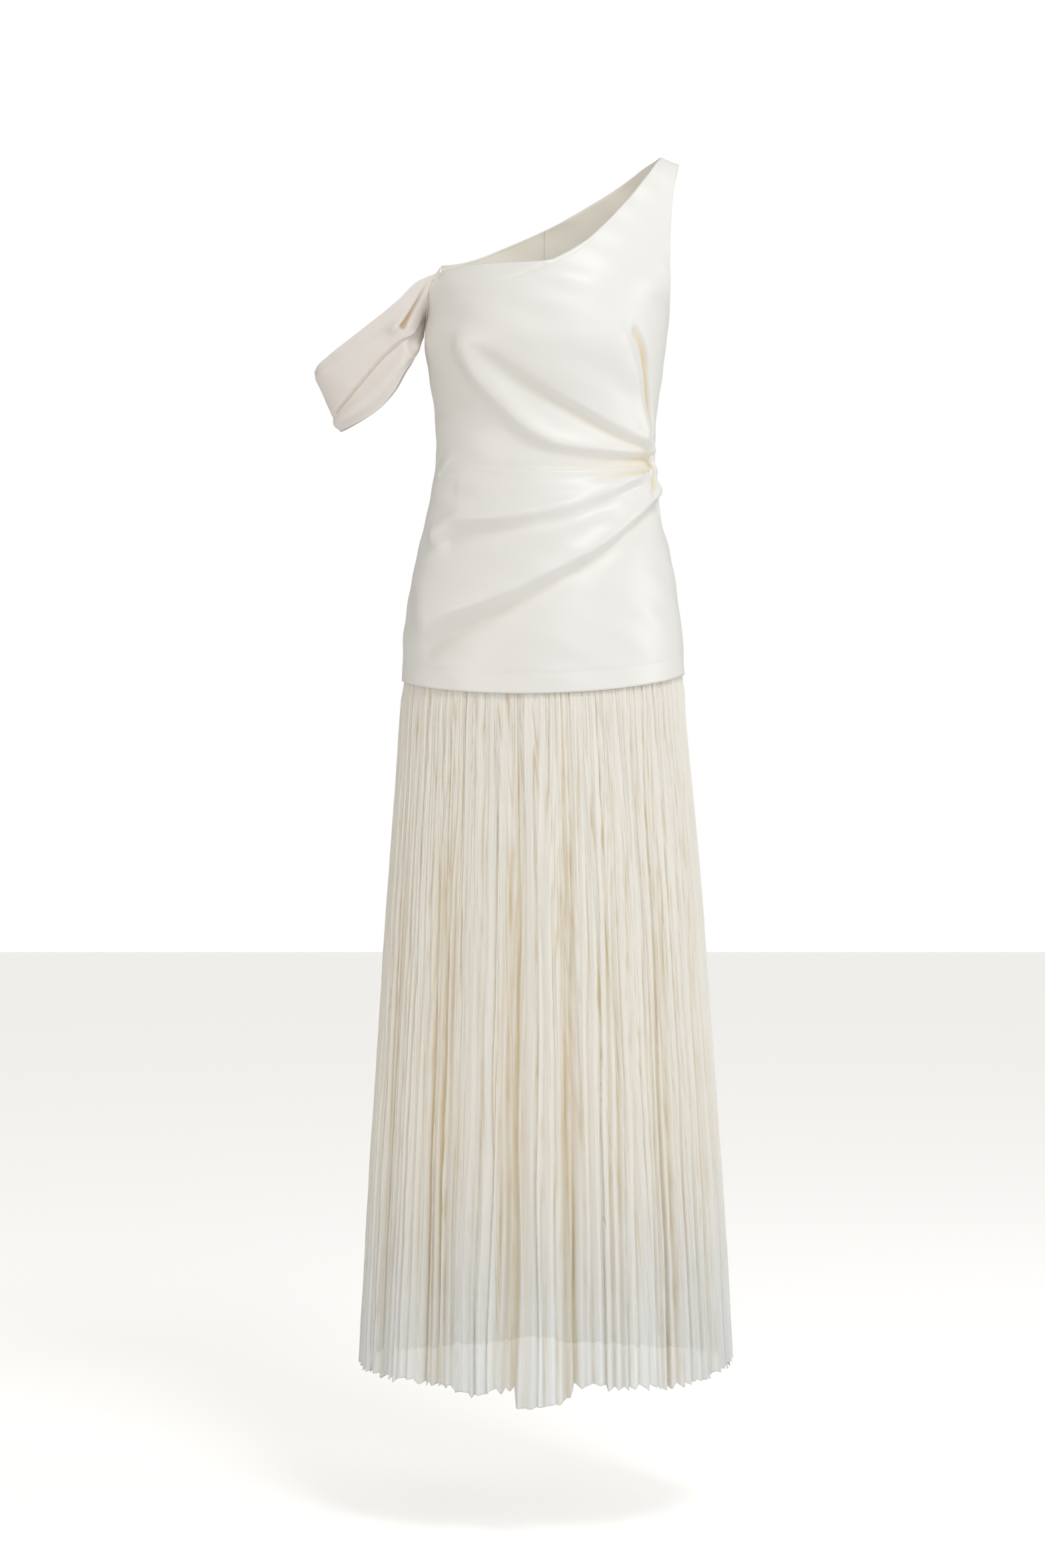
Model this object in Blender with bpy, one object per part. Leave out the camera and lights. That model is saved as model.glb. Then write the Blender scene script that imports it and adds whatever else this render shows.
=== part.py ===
"""One-shoulder dress, filled out with no wearer.

A draped satin bodice with one shoulder and a dropped waist, an off-shoulder sleeve on the other
side, and a gathered sheer skirt over a lining. Each cut piece is a thin wall of its own, and its
neighbours at a seam stand a hair's breadth off.

Run with: blender --background --python part.py
Tables and named sizes are in millimetres. The origin is the underside of the shoulder strap, the
dress faces -Y, and +X is the wearer's left. Across is measured from the dress's own centre line,
and height from the top of the strap, so it is negative below it.
"""

from collections import namedtuple
import math

import bmesh
import bpy
from mathutils import Vector

MM = 0.001

# Driving sizes
WALL = 1.6
SEAM_GAP = 0.3
CENTRE_LINE = -151.4
STRAP_MIDDLE = 151.4
STRAP_LEAN = 0.44
LEAN_REACH = 60.0

# The dropped waist, where the bodice ends and the skirt begins
WAIST_SEAM = -619.0
WAIST_SEAM_TILT = 4.0
WAIST_SEAM_DIP = {"front": 23.0, "back": 12.0}
LINING_HEM = -1344.0

# Mesh fineness
FRONT_COLUMNS = 34
BACK_COLUMNS = 12
LEVEL_START = -200.0
FRONT_ROWS = {"level": 32, "neck": 9}
BACK_ROWS = {"level": 12, "neck": 8}
SLEEVE_COLUMNS = 30
SLEEVE_ROWS = 9
SKIRT_ROWS = (0.0, 0.08, 0.38, 0.7, 1.0)
LINING_COLUMNS = 18
LINING_ROWS = 5
PLEAT_PITCH = 3.0

# Gathers of the skirt: how deep each stands at the waist seam and at the hem
PLEAT_DEPTH = {"top": 3.6, "hem": 5.2}
FRONT_SEAM_ANGLE = -6.0

# The figure that the dress is cut for, as sections from the shoulder down to the skirt's hem. left
# and right are how far the wall reaches on each side of the centre line, front and back how deep
# it is there. open is under 1 where the armholes cut the section short of its full width.
Section = namedtuple("Section", "height left right open front back")
FIGURE = (
    Section(0.0, 120.0, 161.5, 0.830, 0.0, 0.0),
    Section(-1.5, 120.0, 161.2, 0.830, 9.0, 9.0),
    Section(-6.0, 120.0, 160.5, 0.830, 17.0, 18.0),
    Section(-15.0, 120.0, 158.5, 0.835, 28.0, 32.0),
    Section(-33.0, 121.0, 155.0, 0.845, 46.0, 56.0),
    Section(-60.0, 122.0, 151.6, 0.870, 68.0, 78.0),
    Section(-86.0, 123.0, 150.0, 0.890, 84.0, 90.0),
    Section(-110.0, 124.0, 149.0, 0.900, 97.0, 98.0),
    Section(-138.0, 126.0, 149.0, 0.910, 110.0, 104.0),
    Section(-160.0, 137.0, 149.2, 0.935, 119.0, 107.0),
    Section(-180.0, 140.0, 149.5, 0.985, 123.0, 108.0),
    Section(-190.0, 142.0, 149.4, 1.000, 124.5, 108.5),
    Section(-219.0, 144.0, 146.0, 1.000, 126.0, 108.0),
    Section(-258.0, 138.6, 141.4, 1.000, 118.0, 103.0),
    Section(-309.0, 131.4, 134.2, 1.000, 103.0, 96.0),
    Section(-334.0, 129.8, 132.8, 1.000, 98.0, 93.0),
    Section(-360.0, 130.4, 133.0, 1.000, 96.0, 92.0),
    Section(-386.0, 134.0, 135.5, 1.000, 98.0, 94.0),
    Section(-411.0, 138.6, 137.5, 1.000, 101.0, 98.0),
    Section(-437.0, 144.2, 141.0, 1.000, 105.0, 103.0),
    Section(-462.0, 150.6, 148.6, 1.000, 110.0, 109.0),
    Section(-488.0, 156.2, 154.2, 1.000, 114.0, 115.0),
    Section(-526.0, 163.4, 159.8, 1.000, 118.0, 121.0),
    Section(-578.0, 169.8, 166.2, 1.000, 120.0, 124.5),
    Section(-616.0, 170.6, 167.8, 1.000, 119.5, 124.0),
    Section(-660.0, 173.8, 169.5, 1.000, 120.0, 124.0),
    Section(-750.0, 180.0, 177.6, 1.000, 125.0, 130.0),
    Section(-878.0, 189.6, 188.8, 1.000, 135.0, 140.0),
    Section(-1006.0, 197.6, 197.6, 1.000, 143.0, 148.0),
    Section(-1262.0, 214.4, 216.0, 1.000, 155.0, 160.0),
    Section(-1470.0, 226.0, 228.0, 1.000, 166.0, 170.0),
)

# Neckline, from the wearer's right armhole to the inner corner of the strap and on past it
Edge = namedtuple("Edge", "across height")
NECKLINE = {
    "front": (
        Edge(-126.0, -141.6),
        Edge(-90.0, -138.6),
        Edge(-36.0, -138.6),
        Edge(-5.0, -138.4),
        Edge(23.3, -127.1),
        Edge(50.0, -108.4),
        Edge(68.3, -90.1),
        Edge(90.7, -64.0),
        Edge(113.6, -34.0),
        Edge(137.1, 1.0),
        Edge(165.0, 50.0),
    ),
    "back": (
        Edge(-126.0, -118.0),
        Edge(-98.0, -109.7),
        Edge(-37.0, -83.9),
        Edge(12.8, -62.5),
        Edge(53.4, -42.1),
        Edge(89.5, -22.5),
        Edge(119.5, -3.9),
        Edge(141.4, 8.0),
        Edge(165.0, 50.0),
    ),
}

# Folds: a curve seen from the front, its relief (out is positive) and its half width. fade is the
# share of its relief that a fold has lost by its end.
Fold = namedtuple("Fold", "name start bend end relief width fade")
FRONT_FOLDS = (
    Fold("bust fold hollow", (130, -350), (125, -262), (97, -216), -8.0, 6.5, 0.6),
    Fold("bust fold ridge", (120, -335), (110, -268), (84, -216), 5.0, 10.0, 0.6),
    Fold("main ridge above", (128, -346), (40, -300), (-76, -222), 6.0, 14.0, 0.6),
    Fold("main hollow", (124, -352), (30, -315), (-80, -233), -10.0, 12.0, 0.5),
    Fold("main ridge below", (125, -355), (0, -352), (-92, -232), 8.0, 13.0, 0.5),
    Fold("short hollow", (130, -346), (40, -362), (-32, -324), -4.5, 8.0, 0.6),
    Fold("waist crease", (132, -365), (0, -379), (-126, -374), -7.0, 7.5, 0.3),
    Fold("waist crease lift", (-126, -374), (-114, -364), (-102, -350), 3.5, 8.0, 0.8),
    Fold("below waist ridge", (134, -366), (62, -408), (-104, -442), 8.0, 12.5, 0.3),
    Fold("below waist hollow", (122, -398), (60, -440), (-110, -468), -5.0, 12.0, 0.4),
    Fold("hip fold ridge", (138, -400), (70, -470), (-112, -546), 6.5, 14.0, 0.6),
    Fold("hip fold hollow", (141, -412), (62, -500), (-136, -573), -6.5, 9.5, 0.7),
    Fold("neckline tuck", (-3, -139), (-40, -158), (-82, -174), -3.0, 6.0, 0.6),
)
BACK_FOLDS = (
    Fold("blade drape", (130, -343), (70, -318), (8, -262), -4.0, 12.0, 0.8),
    Fold("waist crease", (132, -365), (40, -378), (-126, -374), -4.5, 9.0, 0.4),
    Fold("seat ridge", (136, -374), (70, -420), (-100, -452), 5.0, 13.0, 0.6),
    Fold("seat hollow", (138, -404), (60, -460), (-120, -500), -4.0, 13.0, 0.7),
)
SLEEVE_FOLDS = (
    Fold("upper slit", (-146, -167), (-158, -188), (-172, -206), -5.0, 4.5, 0.6),
    Fold("upper ridge", (-168, -208), (-215, -234), (-266, -255), 4.0, 9.0, 0.4),
    Fold("overlapping edge", (-158, -212), (-215, -256), (-252, -287), 5.0, 7.0, 0.3),
    Fold("overlap crease", (-160, -224), (-214, -268), (-249, -296), -7.0, 6.0, 0.3),
    Fold("lower lobe", (-162, -238), (-200, -282), (-247, -313), 6.0, 13.0, 0.2),
    Fold("underarm curl", (-160, -218), (-162, -228), (-164, -238), 4.0, 5.0, 0.5),
)
SLEEVE_BACK_FOLDS = (
    Fold("upper ridge", (-160, -190), (-215, -228), (-266, -255), 4.0, 10.0, 0.4),
    Fold("middle crease", (-160, -222), (-214, -262), (-250, -292), -5.0, 8.0, 0.3),
)

# Soft swellings of the front: the two cups, and the gathered cloth beside the waist
Swelling = namedtuple("Swelling", "across height relief radius")
SWELLINGS = (
    Swelling(72.0, -232.0, 4.0, 46.0),
    Swelling(-72.0, -232.0, 4.0, 46.0),
    Swelling(138.0, -398.0, 6.0, 12.0),
)

# Where the sleeve's two rims run, seen from the front, from the armhole out to the arm's far side
SLEEVE_TOP = (
    Edge(-150.4, -151.7),
    Edge(-174.1, -174.0),
    Edge(-201.1, -195.5),
    Edge(-229.9, -216.6),
    Edge(-258.4, -237.0),
    Edge(-271.5, -247.0),
    Edge(-277.0, -255.0),
)
SLEEVE_BOTTOM = (
    Edge(-153.3, -238.0),
    Edge(-167.8, -262.0),
    Edge(-180.5, -284.0),
    Edge(-202.1, -305.5),
    Edge(-220.7, -315.8),
    Edge(-236.0, -322.0),
    Edge(-245.6, -325.0),
)
SLEEVE_DEPTH = 50.0
SLEEVE_DEPTH_REACH = 0.35
SLEEVE_LOWEST_JOIN = {"front": -212.0, "back": -197.0}
SLEEVE_BACK_LIFT = 15.0
SLEEVE_LEAST_DEPTH = 7.0
SLEEVE_CLEARANCE = 0.6
SLEEVE_RIM_ROLL = 3.0
SLEEVE_RIM_SHARE = 0.12

# Flutes: the big folds in which the skirt hangs. Angles run from the front's middle towards the
# wearer's left, and each recess deepens from nothing at the waist seam to its depth at the hem.
Flute = namedtuple("Flute", "angle width recess")
FLUTES = (
    Flute(-64.0, 7.0, 8.0),
    Flute(-38.5, 6.0, 13.0),
    Flute(-10.5, 4.0, 15.0),
    Flute(7.5, 4.0, 15.0),
    Flute(23.0, 5.0, 6.0),
    Flute(43.0, 7.0, 9.0),
    Flute(66.0, 6.0, 8.0),
    Flute(112.0, 7.0, 10.0),
    Flute(139.0, 6.0, 13.0),
    Flute(168.0, 6.0, 12.0),
    Flute(-158.0, 7.0, 13.0),
    Flute(-127.0, 6.0, 11.0),
)

# The skirt's hem all round, with the centre front fold hanging lower than the rest
Hem = namedtuple("Hem", "angle height")
SKIRT_HEM = (
    Hem(-180.0, -1440.0),
    Hem(-140.0, -1444.0),
    Hem(-115.0, -1436.0),
    Hem(-90.0, -1432.0),
    Hem(-62.0, -1441.0),
    Hem(-45.0, -1437.0),
    Hem(-35.0, -1442.0),
    Hem(-21.0, -1448.0),
    Hem(-10.5, -1446.0),
    Hem(-9.0, -1462.0),
    Hem(0.0, -1461.0),
    Hem(6.0, -1452.0),
    Hem(8.0, -1441.0),
    Hem(22.0, -1441.0),
    Hem(45.0, -1445.0),
    Hem(65.0, -1441.0),
    Hem(90.0, -1430.0),
    Hem(120.0, -1438.0),
    Hem(150.0, -1445.0),
    Hem(180.0, -1440.0),
)

# How far the lining lies inside the skirt's outer face
Inset = namedtuple("Inset", "height inset")
LINING_INSET = (Inset(-600.0, 5.7), Inset(-660.0, 6.4), Inset(-900.0, 15.0), Inset(LINING_HEM, 25.0))

# Colour, roughness
SATIN = ((0.83, 0.81, 0.76, 1.0), 0.38)
SLEEVE_CLOTH = ((0.80, 0.76, 0.73, 1.0), 0.55)
CHIFFON = ((0.80, 0.76, 0.69, 1.0), 0.70)
LINING_CLOTH = ((0.74, 0.70, 0.63, 1.0), 0.60)


def clear_scene():
    for obj in list(bpy.data.objects):
        bpy.data.objects.remove(obj, do_unlink=True)


def cloth_material(name, look):
    colour, roughness = look
    material = bpy.data.materials.new(name)
    material.use_nodes = True
    shader = material.node_tree.nodes["Principled BSDF"]
    shader.inputs["Base Color"].default_value = colour
    shader.inputs["Roughness"].default_value = roughness
    shader.inputs["Metallic"].default_value = 0.0
    return material


def smooth(share):
    """0 to 1 with level ends."""
    share = min(max(share, 0.0), 1.0)
    return share * share * (3.0 - 2.0 * share)


def straight(places, values, place):
    """The value at place on straight runs between the places."""
    if place <= places[0]:
        return values[0]
    for i in range(1, len(places)):
        if place <= places[i]:
            share = (place - places[i - 1]) / (places[i] - places[i - 1])
            return values[i - 1] + share * (values[i] - values[i - 1])
    return values[-1]


def slopes_of(places, values):
    """Slopes for a smooth curve through the values that never overshoots them."""
    runs = [
        (values[i + 1] - values[i]) / (places[i + 1] - places[i]) for i in range(len(places) - 1)
    ]
    inner = [0.0 if a * b <= 0.0 else 2.0 * a * b / (a + b) for a, b in zip(runs, runs[1:])]
    return [runs[0]] + inner + [runs[-1]]


def curved(places, values, slopes, place):
    """The value at place on the smooth curve through the values."""
    place = min(max(place, places[0]), places[-1])
    i = 0
    while i < len(places) - 2 and place > places[i + 1]:
        i += 1
    run = places[i + 1] - places[i]
    share = (place - places[i]) / run
    rise = values[i + 1] - values[i]
    ease = smooth(share)
    start_pull = share * (1.0 - share) ** 2 * slopes[i] * run
    end_pull = share * share * (share - 1.0) * slopes[i + 1] * run
    return values[i] + ease * rise + start_pull + end_pull


class Form:
    """The figure as one smooth surface. A station is a distance down the front's profile from the
    shoulder, so that rows stay even where the strap lies flat over the shoulder."""

    def __init__(self, sections):
        self.stations = [0.0]
        for above, below in zip(sections, sections[1:]):
            step = math.hypot(below.height - above.height, below.front - above.front)
            self.stations.append(self.stations[-1] + step)
        self.columns = {}
        for field in Section._fields:
            values = [getattr(section, field) for section in sections]
            self.columns[field] = (values, slopes_of(self.stations, values))

    def size(self, field, station):
        values, slopes = self.columns[field]
        return curved(self.stations, values, slopes, station)

    def station_at(self, height):
        low, high = self.stations[0], self.stations[-1]
        for _ in range(40):
            middle = (low + high) / 2.0
            if self.size("height", middle) > height:
                low = middle
            else:
                high = middle
        return (low + high) / 2.0

    def point(self, station, turn, side, inset=0.0):
        """turn runs from -1 at the wearer's right side to 1 at the left, and side is front or back."""
        half = self.size("right" if turn > 0.0 else "left", station) - inset
        share = math.sin(turn * math.pi / 2.0)
        cut = self.size("open", station) * share
        depth = (self.size(side, station) - inset) * math.sqrt(max(0.0, 1.0 - cut * cut))
        across = half * share
        height = self.size("height", station)
        lean = STRAP_LEAN * smooth((height + LEAN_REACH) / LEAN_REACH)
        facing = -1.0 if side == "front" else 1.0
        return Vector((across, facing * depth, height - lean * (across - STRAP_MIDDLE)))

    def outward(self, station, turn, side):
        """The direction that faces out of the dress there."""
        step = 0.5
        above = self.point(max(station - step, 0.0), turn, side)
        below = self.point(station + step, turn, side)
        before = self.point(station, max(turn - 0.01, -1.0), side)
        after = self.point(station, min(turn + 0.01, 1.0), side)
        normal = (after - before).cross(above - below)
        if side == "back":
            normal.negate()
        return normal.normalized()


FORM = Form(FIGURE)


def neckline_height(side, across):
    edges = NECKLINE[side]
    places = [edge.across for edge in edges]
    heights = [edge.height for edge in edges]
    return curved(places, heights, slopes_of(places, heights), across)


def waist_seam_height(turn, side):
    angle = turn * math.pi / 2.0
    dip = WAIST_SEAM_DIP[side] * max(math.cos(angle), 0.0) ** 1.3
    return WAIST_SEAM + WAIST_SEAM_TILT * math.sin(angle) - dip


def top_station(turn, side):
    """Where a column of the bodice meets the neckline, or the shoulder on the strap."""
    low, high = 0.0, FORM.station_at(LEVEL_START)
    for _ in range(40):
        middle = (low + high) / 2.0
        place = FORM.point(middle, turn, side)
        if place.z > neckline_height(side, place.x):
            low = middle
        else:
            high = middle
    return low if low > 0.01 else 0.0


def along_fold(fold, share):
    """A point on the fold's curve, which leaves start towards bend and comes into end from it."""
    start, bend, end = Vector(fold.start), Vector(fold.bend), Vector(fold.end)
    return start.lerp(bend, share).lerp(bend.lerp(end, share), share)


def fold_samples(folds, half_at):
    """Each fold as points laid flat on the panel, so that its width holds round the side."""
    samples = []
    for fold in folds:
        points = []
        for i in range(17):
            place = along_fold(fold, i / 16.0)
            points.append(laid_flat(place.x, place.y, half_at(place.x, place.y)))
        samples.append((fold, points))
    return samples


def laid_flat(across, height, half):
    share = min(max(across / half, -1.0), 1.0)
    return Vector((half * math.asin(share), height))


def fold_relief(samples, place):
    """How far the folds lift the cloth at a place laid flat."""
    total = 0.0
    for fold, points in samples:
        reach = 3.0 * fold.width
        best, best_share = reach, 0.0
        for i in range(len(points) - 1):
            run = points[i + 1] - points[i]
            share = min(max((place - points[i]).dot(run) / run.length_squared, 0.0), 1.0)
            distance = (place - points[i] - run * share).length
            if distance < best:
                best = distance
                best_share = (i + share) / (len(points) - 1)
        if best >= reach:
            continue
        strength = 1.0 - fold.fade * smooth(best_share)
        total += fold.relief * strength * math.exp(-((best / fold.width) ** 2))
    return total


def bodice_half(across, height):
    return FORM.size("right" if across > 0.0 else "left", FORM.station_at(height))


def swelling_relief(place):
    total = 0.0
    for swelling in SWELLINGS:
        half = bodice_half(swelling.across, swelling.height)
        middle = laid_flat(swelling.across, swelling.height, half)
        distance = (place - middle).length
        total += swelling.relief * math.exp(-((distance / swelling.radius) ** 2))
    return total


def placed(point):
    """From the dress's own centre line and strap top to the part's frame, in metres."""
    return Vector((point.x + CENTRE_LINE, point.y, point.z + WALL)) * MM


def wall_between(name, outer, inner, material):
    """One closed wall from two like grids of points: rows of the outer face and of the inner."""
    mesh = bmesh.new()
    faces_of = []
    for grid in (outer, inner):
        faces_of.append([[mesh.verts.new(placed(point)) for point in row] for row in grid])
    front, back = faces_of
    last_row, last_column = len(outer) - 1, len(outer[0]) - 1
    for i in range(last_row):
        for j in range(last_column):
            mesh.faces.new((front[i][j], front[i][j + 1], front[i + 1][j + 1], front[i + 1][j]))
            mesh.faces.new((back[i][j], back[i + 1][j], back[i + 1][j + 1], back[i][j + 1]))
    for j in range(last_column):
        mesh.faces.new((front[0][j], back[0][j], back[0][j + 1], front[0][j + 1]))
        mesh.faces.new(
            (front[last_row][j], front[last_row][j + 1], back[last_row][j + 1], back[last_row][j])
        )
    for i in range(last_row):
        mesh.faces.new((front[i][0], front[i + 1][0], back[i + 1][0], back[i][0]))
        mesh.faces.new(
            (
                front[i][last_column],
                back[i][last_column],
                back[i + 1][last_column],
                front[i + 1][last_column],
            )
        )
    bmesh.ops.triangulate(mesh, faces=mesh.faces[:], quad_method="FIXED")
    bmesh.ops.recalc_face_normals(mesh, faces=mesh.faces[:])
    data = bpy.data.meshes.new(name)
    mesh.to_mesh(data)
    mesh.free()
    data.materials.append(material)
    data.shade_smooth()
    data.set_sharp_from_angle(angle=math.radians(40.0))
    obj = bpy.data.objects.new(name, data)
    bpy.context.scene.collection.objects.link(obj)
    return obj


def column_stations(turn, side, rows):
    """Stations down one column of the bodice: an even share of the neck part, then level rows."""
    top = top_station(turn, side)
    level = FORM.station_at(LEVEL_START)
    bottom = FORM.station_at(waist_seam_height(turn, side))
    neck = [top + (level - top) * i / rows["neck"] for i in range(rows["neck"])]
    low = [level + (bottom - level) * i / rows["level"] for i in range(rows["level"] + 1)]
    return neck + low


def bodice_panel(name, side, turns, rows, folds, swells, shift, material):
    """A bodice piece between two of its upright edges. shift moves it off a centre seam."""
    samples = fold_samples(folds, bodice_half)
    columns = [column_stations(turn, side, rows) for turn in turns]
    facing = -1.0 if side == "front" else 1.0
    seam = Vector((shift, facing * SEAM_GAP / 2.0, 0.0))
    outer, inner = [], []
    for i in range(len(columns[0])):
        outer_row, inner_row = [], []
        for turn, stations in zip(turns, columns):
            station = stations[i]
            base = FORM.point(station, turn, side)
            half = FORM.size("right" if turn > 0.0 else "left", station)
            flat = Vector((half * turn * math.pi / 2.0, base.z))
            relief = fold_relief(samples, flat)
            if swells:
                relief += swelling_relief(flat)
            relief *= smooth((base.z - waist_seam_height(turn, side)) / 20.0)
            relief *= 1.0 - 0.7 * smooth((abs(turn) - 0.94) / 0.06)
            normal = FORM.outward(station, turn, side)
            if abs(turn) > 0.999 or station == 0.0:
                normal = Vector((normal.x, 0.0, normal.z)).normalized()
            outer_row.append(base + seam + normal * relief)
            inner_row.append(base + seam + normal * (relief - WALL))
        outer.append(outer_row)
        inner.append(inner_row)
    return wall_between(name, outer, inner, material)


def even_turns(start, end, count):
    return [start + (end - start) * i / count for i in range(count + 1)]


def sleeve_rim(edges, join, share):
    """A rim's point, seen from the front, at a share of the way out from the armhole."""
    run = [join] + list(edges)
    places = [0.0]
    for before, after in zip(run, run[1:]):
        step = math.hypot(after.across - before.across, after.height - before.height)
        places.append(places[-1] + step)
    across = [edge.across for edge in run]
    heights = [edge.height for edge in run]
    place = share * places[-1]
    return Vector(
        (
            curved(places, across, slopes_of(places, across), place),
            curved(places, heights, slopes_of(places, heights), place),
        )
    )


def armhole_edge(height, side):
    """The bodice's upright edge beside the sleeve, at a height."""
    return FORM.point(FORM.station_at(height), -1.0, side)


def sleeve_point(turn, drop):
    """turn runs 0 to 1 round the band, from the front of the armhole to its back, and drop 0 to 1
    from its upper rim to its lower."""
    angle = turn * math.pi
    side = "front" if angle <= math.pi / 2.0 else "back"
    out = math.sin(angle)
    highest = NECKLINE[side][0].height
    lowest = SLEEVE_LOWEST_JOIN[side]
    edge = armhole_edge(highest + (lowest - highest) * drop, side)
    top_edge, low_edge = armhole_edge(highest, side), armhole_edge(lowest, side)
    upper = sleeve_rim(SLEEVE_TOP, Edge(top_edge.x - SLEEVE_CLEARANCE, highest), out)
    lower = sleeve_rim(SLEEVE_BOTTOM, Edge(low_edge.x - SLEEVE_CLEARANCE, lowest), out)
    if side == "back":
        lower.y += SLEEVE_BACK_LIFT * smooth(4.0 * out) * (1.0 - out**4)
    place = upper.lerp(lower, drop)
    bow = (edge.x - SLEEVE_CLEARANCE - (upper.x + (lower.x - upper.x) * drop)) * (1.0 - out) ** 6
    at_join = max(abs(edge.y), SLEEVE_LEAST_DEPTH)
    depth = at_join + (SLEEVE_DEPTH - at_join) * smooth(out / SLEEVE_DEPTH_REACH)
    across = place.x + min(bow, 0.0)
    return Vector((across, -math.cos(angle) * depth, place.y))


def sleeve_outward(turn, drop):
    step = 0.004
    before = sleeve_point(max(turn - step, 0.0), drop)
    after = sleeve_point(min(turn + step, 1.0), drop)
    above = sleeve_point(turn, max(drop - 0.02, 0.0))
    below = sleeve_point(turn, min(drop + 0.02, 1.0))
    return (after - before).cross(below - above).normalized()


def flat_sleeve_samples(folds):
    return [
        (fold, [Vector(along_fold(fold, i / 16.0)) for i in range(17)]) for fold in folds
    ]


def build_sleeve(material):
    samples = {
        "front": flat_sleeve_samples(SLEEVE_FOLDS),
        "back": flat_sleeve_samples(SLEEVE_BACK_FOLDS),
    }
    outer, inner = [], []
    for i in range(SLEEVE_ROWS + 1):
        drop = i / SLEEVE_ROWS
        outer_row, inner_row = [], []
        for j in range(SLEEVE_COLUMNS + 1):
            turn = j / SLEEVE_COLUMNS
            side = "front" if turn <= 0.5 else "back"
            base = sleeve_point(turn, drop)
            normal = sleeve_outward(turn, drop)
            if j in (0, SLEEVE_COLUMNS):
                normal = Vector((0.0, -1.0 if j == 0 else 1.0, 0.0))
            relief = fold_relief(samples[side], Vector((base.x, base.z)))
            rim = 1.0 - smooth(min(drop, 1.0 - drop) / SLEEVE_RIM_SHARE)
            relief = relief * (1.0 - 0.6 * rim) - SLEEVE_RIM_ROLL * rim
            relief *= smooth(min(turn, 1.0 - turn) / 0.08)
            outer_row.append(base + normal * relief)
            inner_row.append(base + normal * (relief - WALL))
        outer.append(outer_row)
        inner.append(inner_row)
    return wall_between("sleeve", outer, inner, material)


def turn_of(angle):
    """Side of the dress and turn there, from an angle round it: 0 in front, 90 at the left side."""
    if abs(angle) <= 90.0:
        return "front", angle / 90.0
    return "back", math.copysign(180.0 - abs(angle), angle) / 90.0


def uneven(index, kind):
    """A steady but irregular number from 0 to 1 for each gather."""
    value = math.sin(index * 12.9898 + kind * 78.233) * 43758.5453
    return value - math.floor(value)


def flute_recess(angle, share):
    total = 0.0
    for flute in FLUTES:
        away = (angle - flute.angle + 180.0) % 360.0 - 180.0
        total += flute.recess * math.exp(-((away / flute.width) ** 2))
    return total * share ** 1.2


def skirt_hem_height(angle):
    return straight([hem.angle for hem in SKIRT_HEM], [hem.height for hem in SKIRT_HEM], angle)


def skirt_panel(name, start, end, shifts, material):
    """A gathered panel from one angle to another: each gather is a valley and a ridge. shifts are
    how far across each upright edge stands off its seam."""
    count = round((end - start) / PLEAT_PITCH)
    angles = []
    for i in range(2 * count + 1):
        even = start + (end - start) * i / (2 * count)
        sway = 0.0 if i in (0, 2 * count) else (uneven(even, 1) - 0.5) * 0.3 * PLEAT_PITCH
        angles.append(even + sway)
    outer, inner = [], []
    for share in SKIRT_ROWS:
        outer_row, inner_row = [], []
        for i, angle in enumerate(angles):
            side, turn = turn_of(angle)
            top = waist_seam_height(turn, side) - SEAM_GAP
            ragged = 4.0 * (uneven(angle, 2) - 0.5) if 0 < i < 2 * count else 0.0
            hem = skirt_hem_height(angle) + ragged
            station = FORM.station_at(top + (hem - top) * share)
            base = FORM.point(station, turn, side)
            deep = PLEAT_DEPTH["top"] + (PLEAT_DEPTH["hem"] - PLEAT_DEPTH["top"]) * share
            valley = deep * (0.7 + 0.3 * uneven(angle, 3)) if i % 2 == 0 else 0.0
            valley += flute_recess(angle, share)
            normal = FORM.outward(station, turn, side)
            normal = Vector((normal.x, normal.y, 0.0)).normalized()
            if i in (0, 2 * count) and abs(turn) > 0.999:
                normal = Vector((math.copysign(1.0, turn), 0.0, 0.0))
            shift = shifts[0] if i == 0 else shifts[1] if i == 2 * count else Vector((0, 0, 0))
            outer_row.append(base + shift - normal * valley)
            inner_row.append(base + shift - normal * (valley + WALL))
        outer.append(outer_row)
        inner.append(inner_row)
    return wall_between(name, outer, inner, material)


def lining_panel(name, side, material):
    places = [row.height for row in reversed(LINING_INSET)]
    insets = [row.inset for row in reversed(LINING_INSET)]
    facing = -1.0 if side == "front" else 1.0
    seam = Vector((0.0, facing * SEAM_GAP / 2.0, 0.0))
    outer, inner = [], []
    for i in range(LINING_ROWS + 1):
        outer_row, inner_row = [], []
        for turn in even_turns(-1.0, 1.0, LINING_COLUMNS):
            top = waist_seam_height(turn, side) - SEAM_GAP
            height = top + (LINING_HEM - top) * i / LINING_ROWS
            inset = straight(places, insets, height)
            station = FORM.station_at(height)
            outer_row.append(FORM.point(station, turn, side, inset) + seam)
            inner_row.append(FORM.point(station, turn, side, inset + WALL) + seam)
        outer.append(outer_row)
        inner.append(inner_row)
    return wall_between(name, outer, inner, material)


def build_bodice():
    satin = cloth_material("satin", SATIN)
    bodice_panel(
        "bodice_front",
        "front",
        even_turns(-1.0, 1.0, FRONT_COLUMNS),
        FRONT_ROWS,
        FRONT_FOLDS,
        True,
        0.0,
        satin,
    )
    half_gap = SEAM_GAP / 2.0
    for name, start, end, shift in (
        ("bodice_back_right", -1.0, 0.0, -half_gap),
        ("bodice_back_left", 0.0, 1.0, half_gap),
    ):
        turns = even_turns(start, end, BACK_COLUMNS)
        bodice_panel(name, "back", turns, BACK_ROWS, BACK_FOLDS, False, shift, satin)


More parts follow.
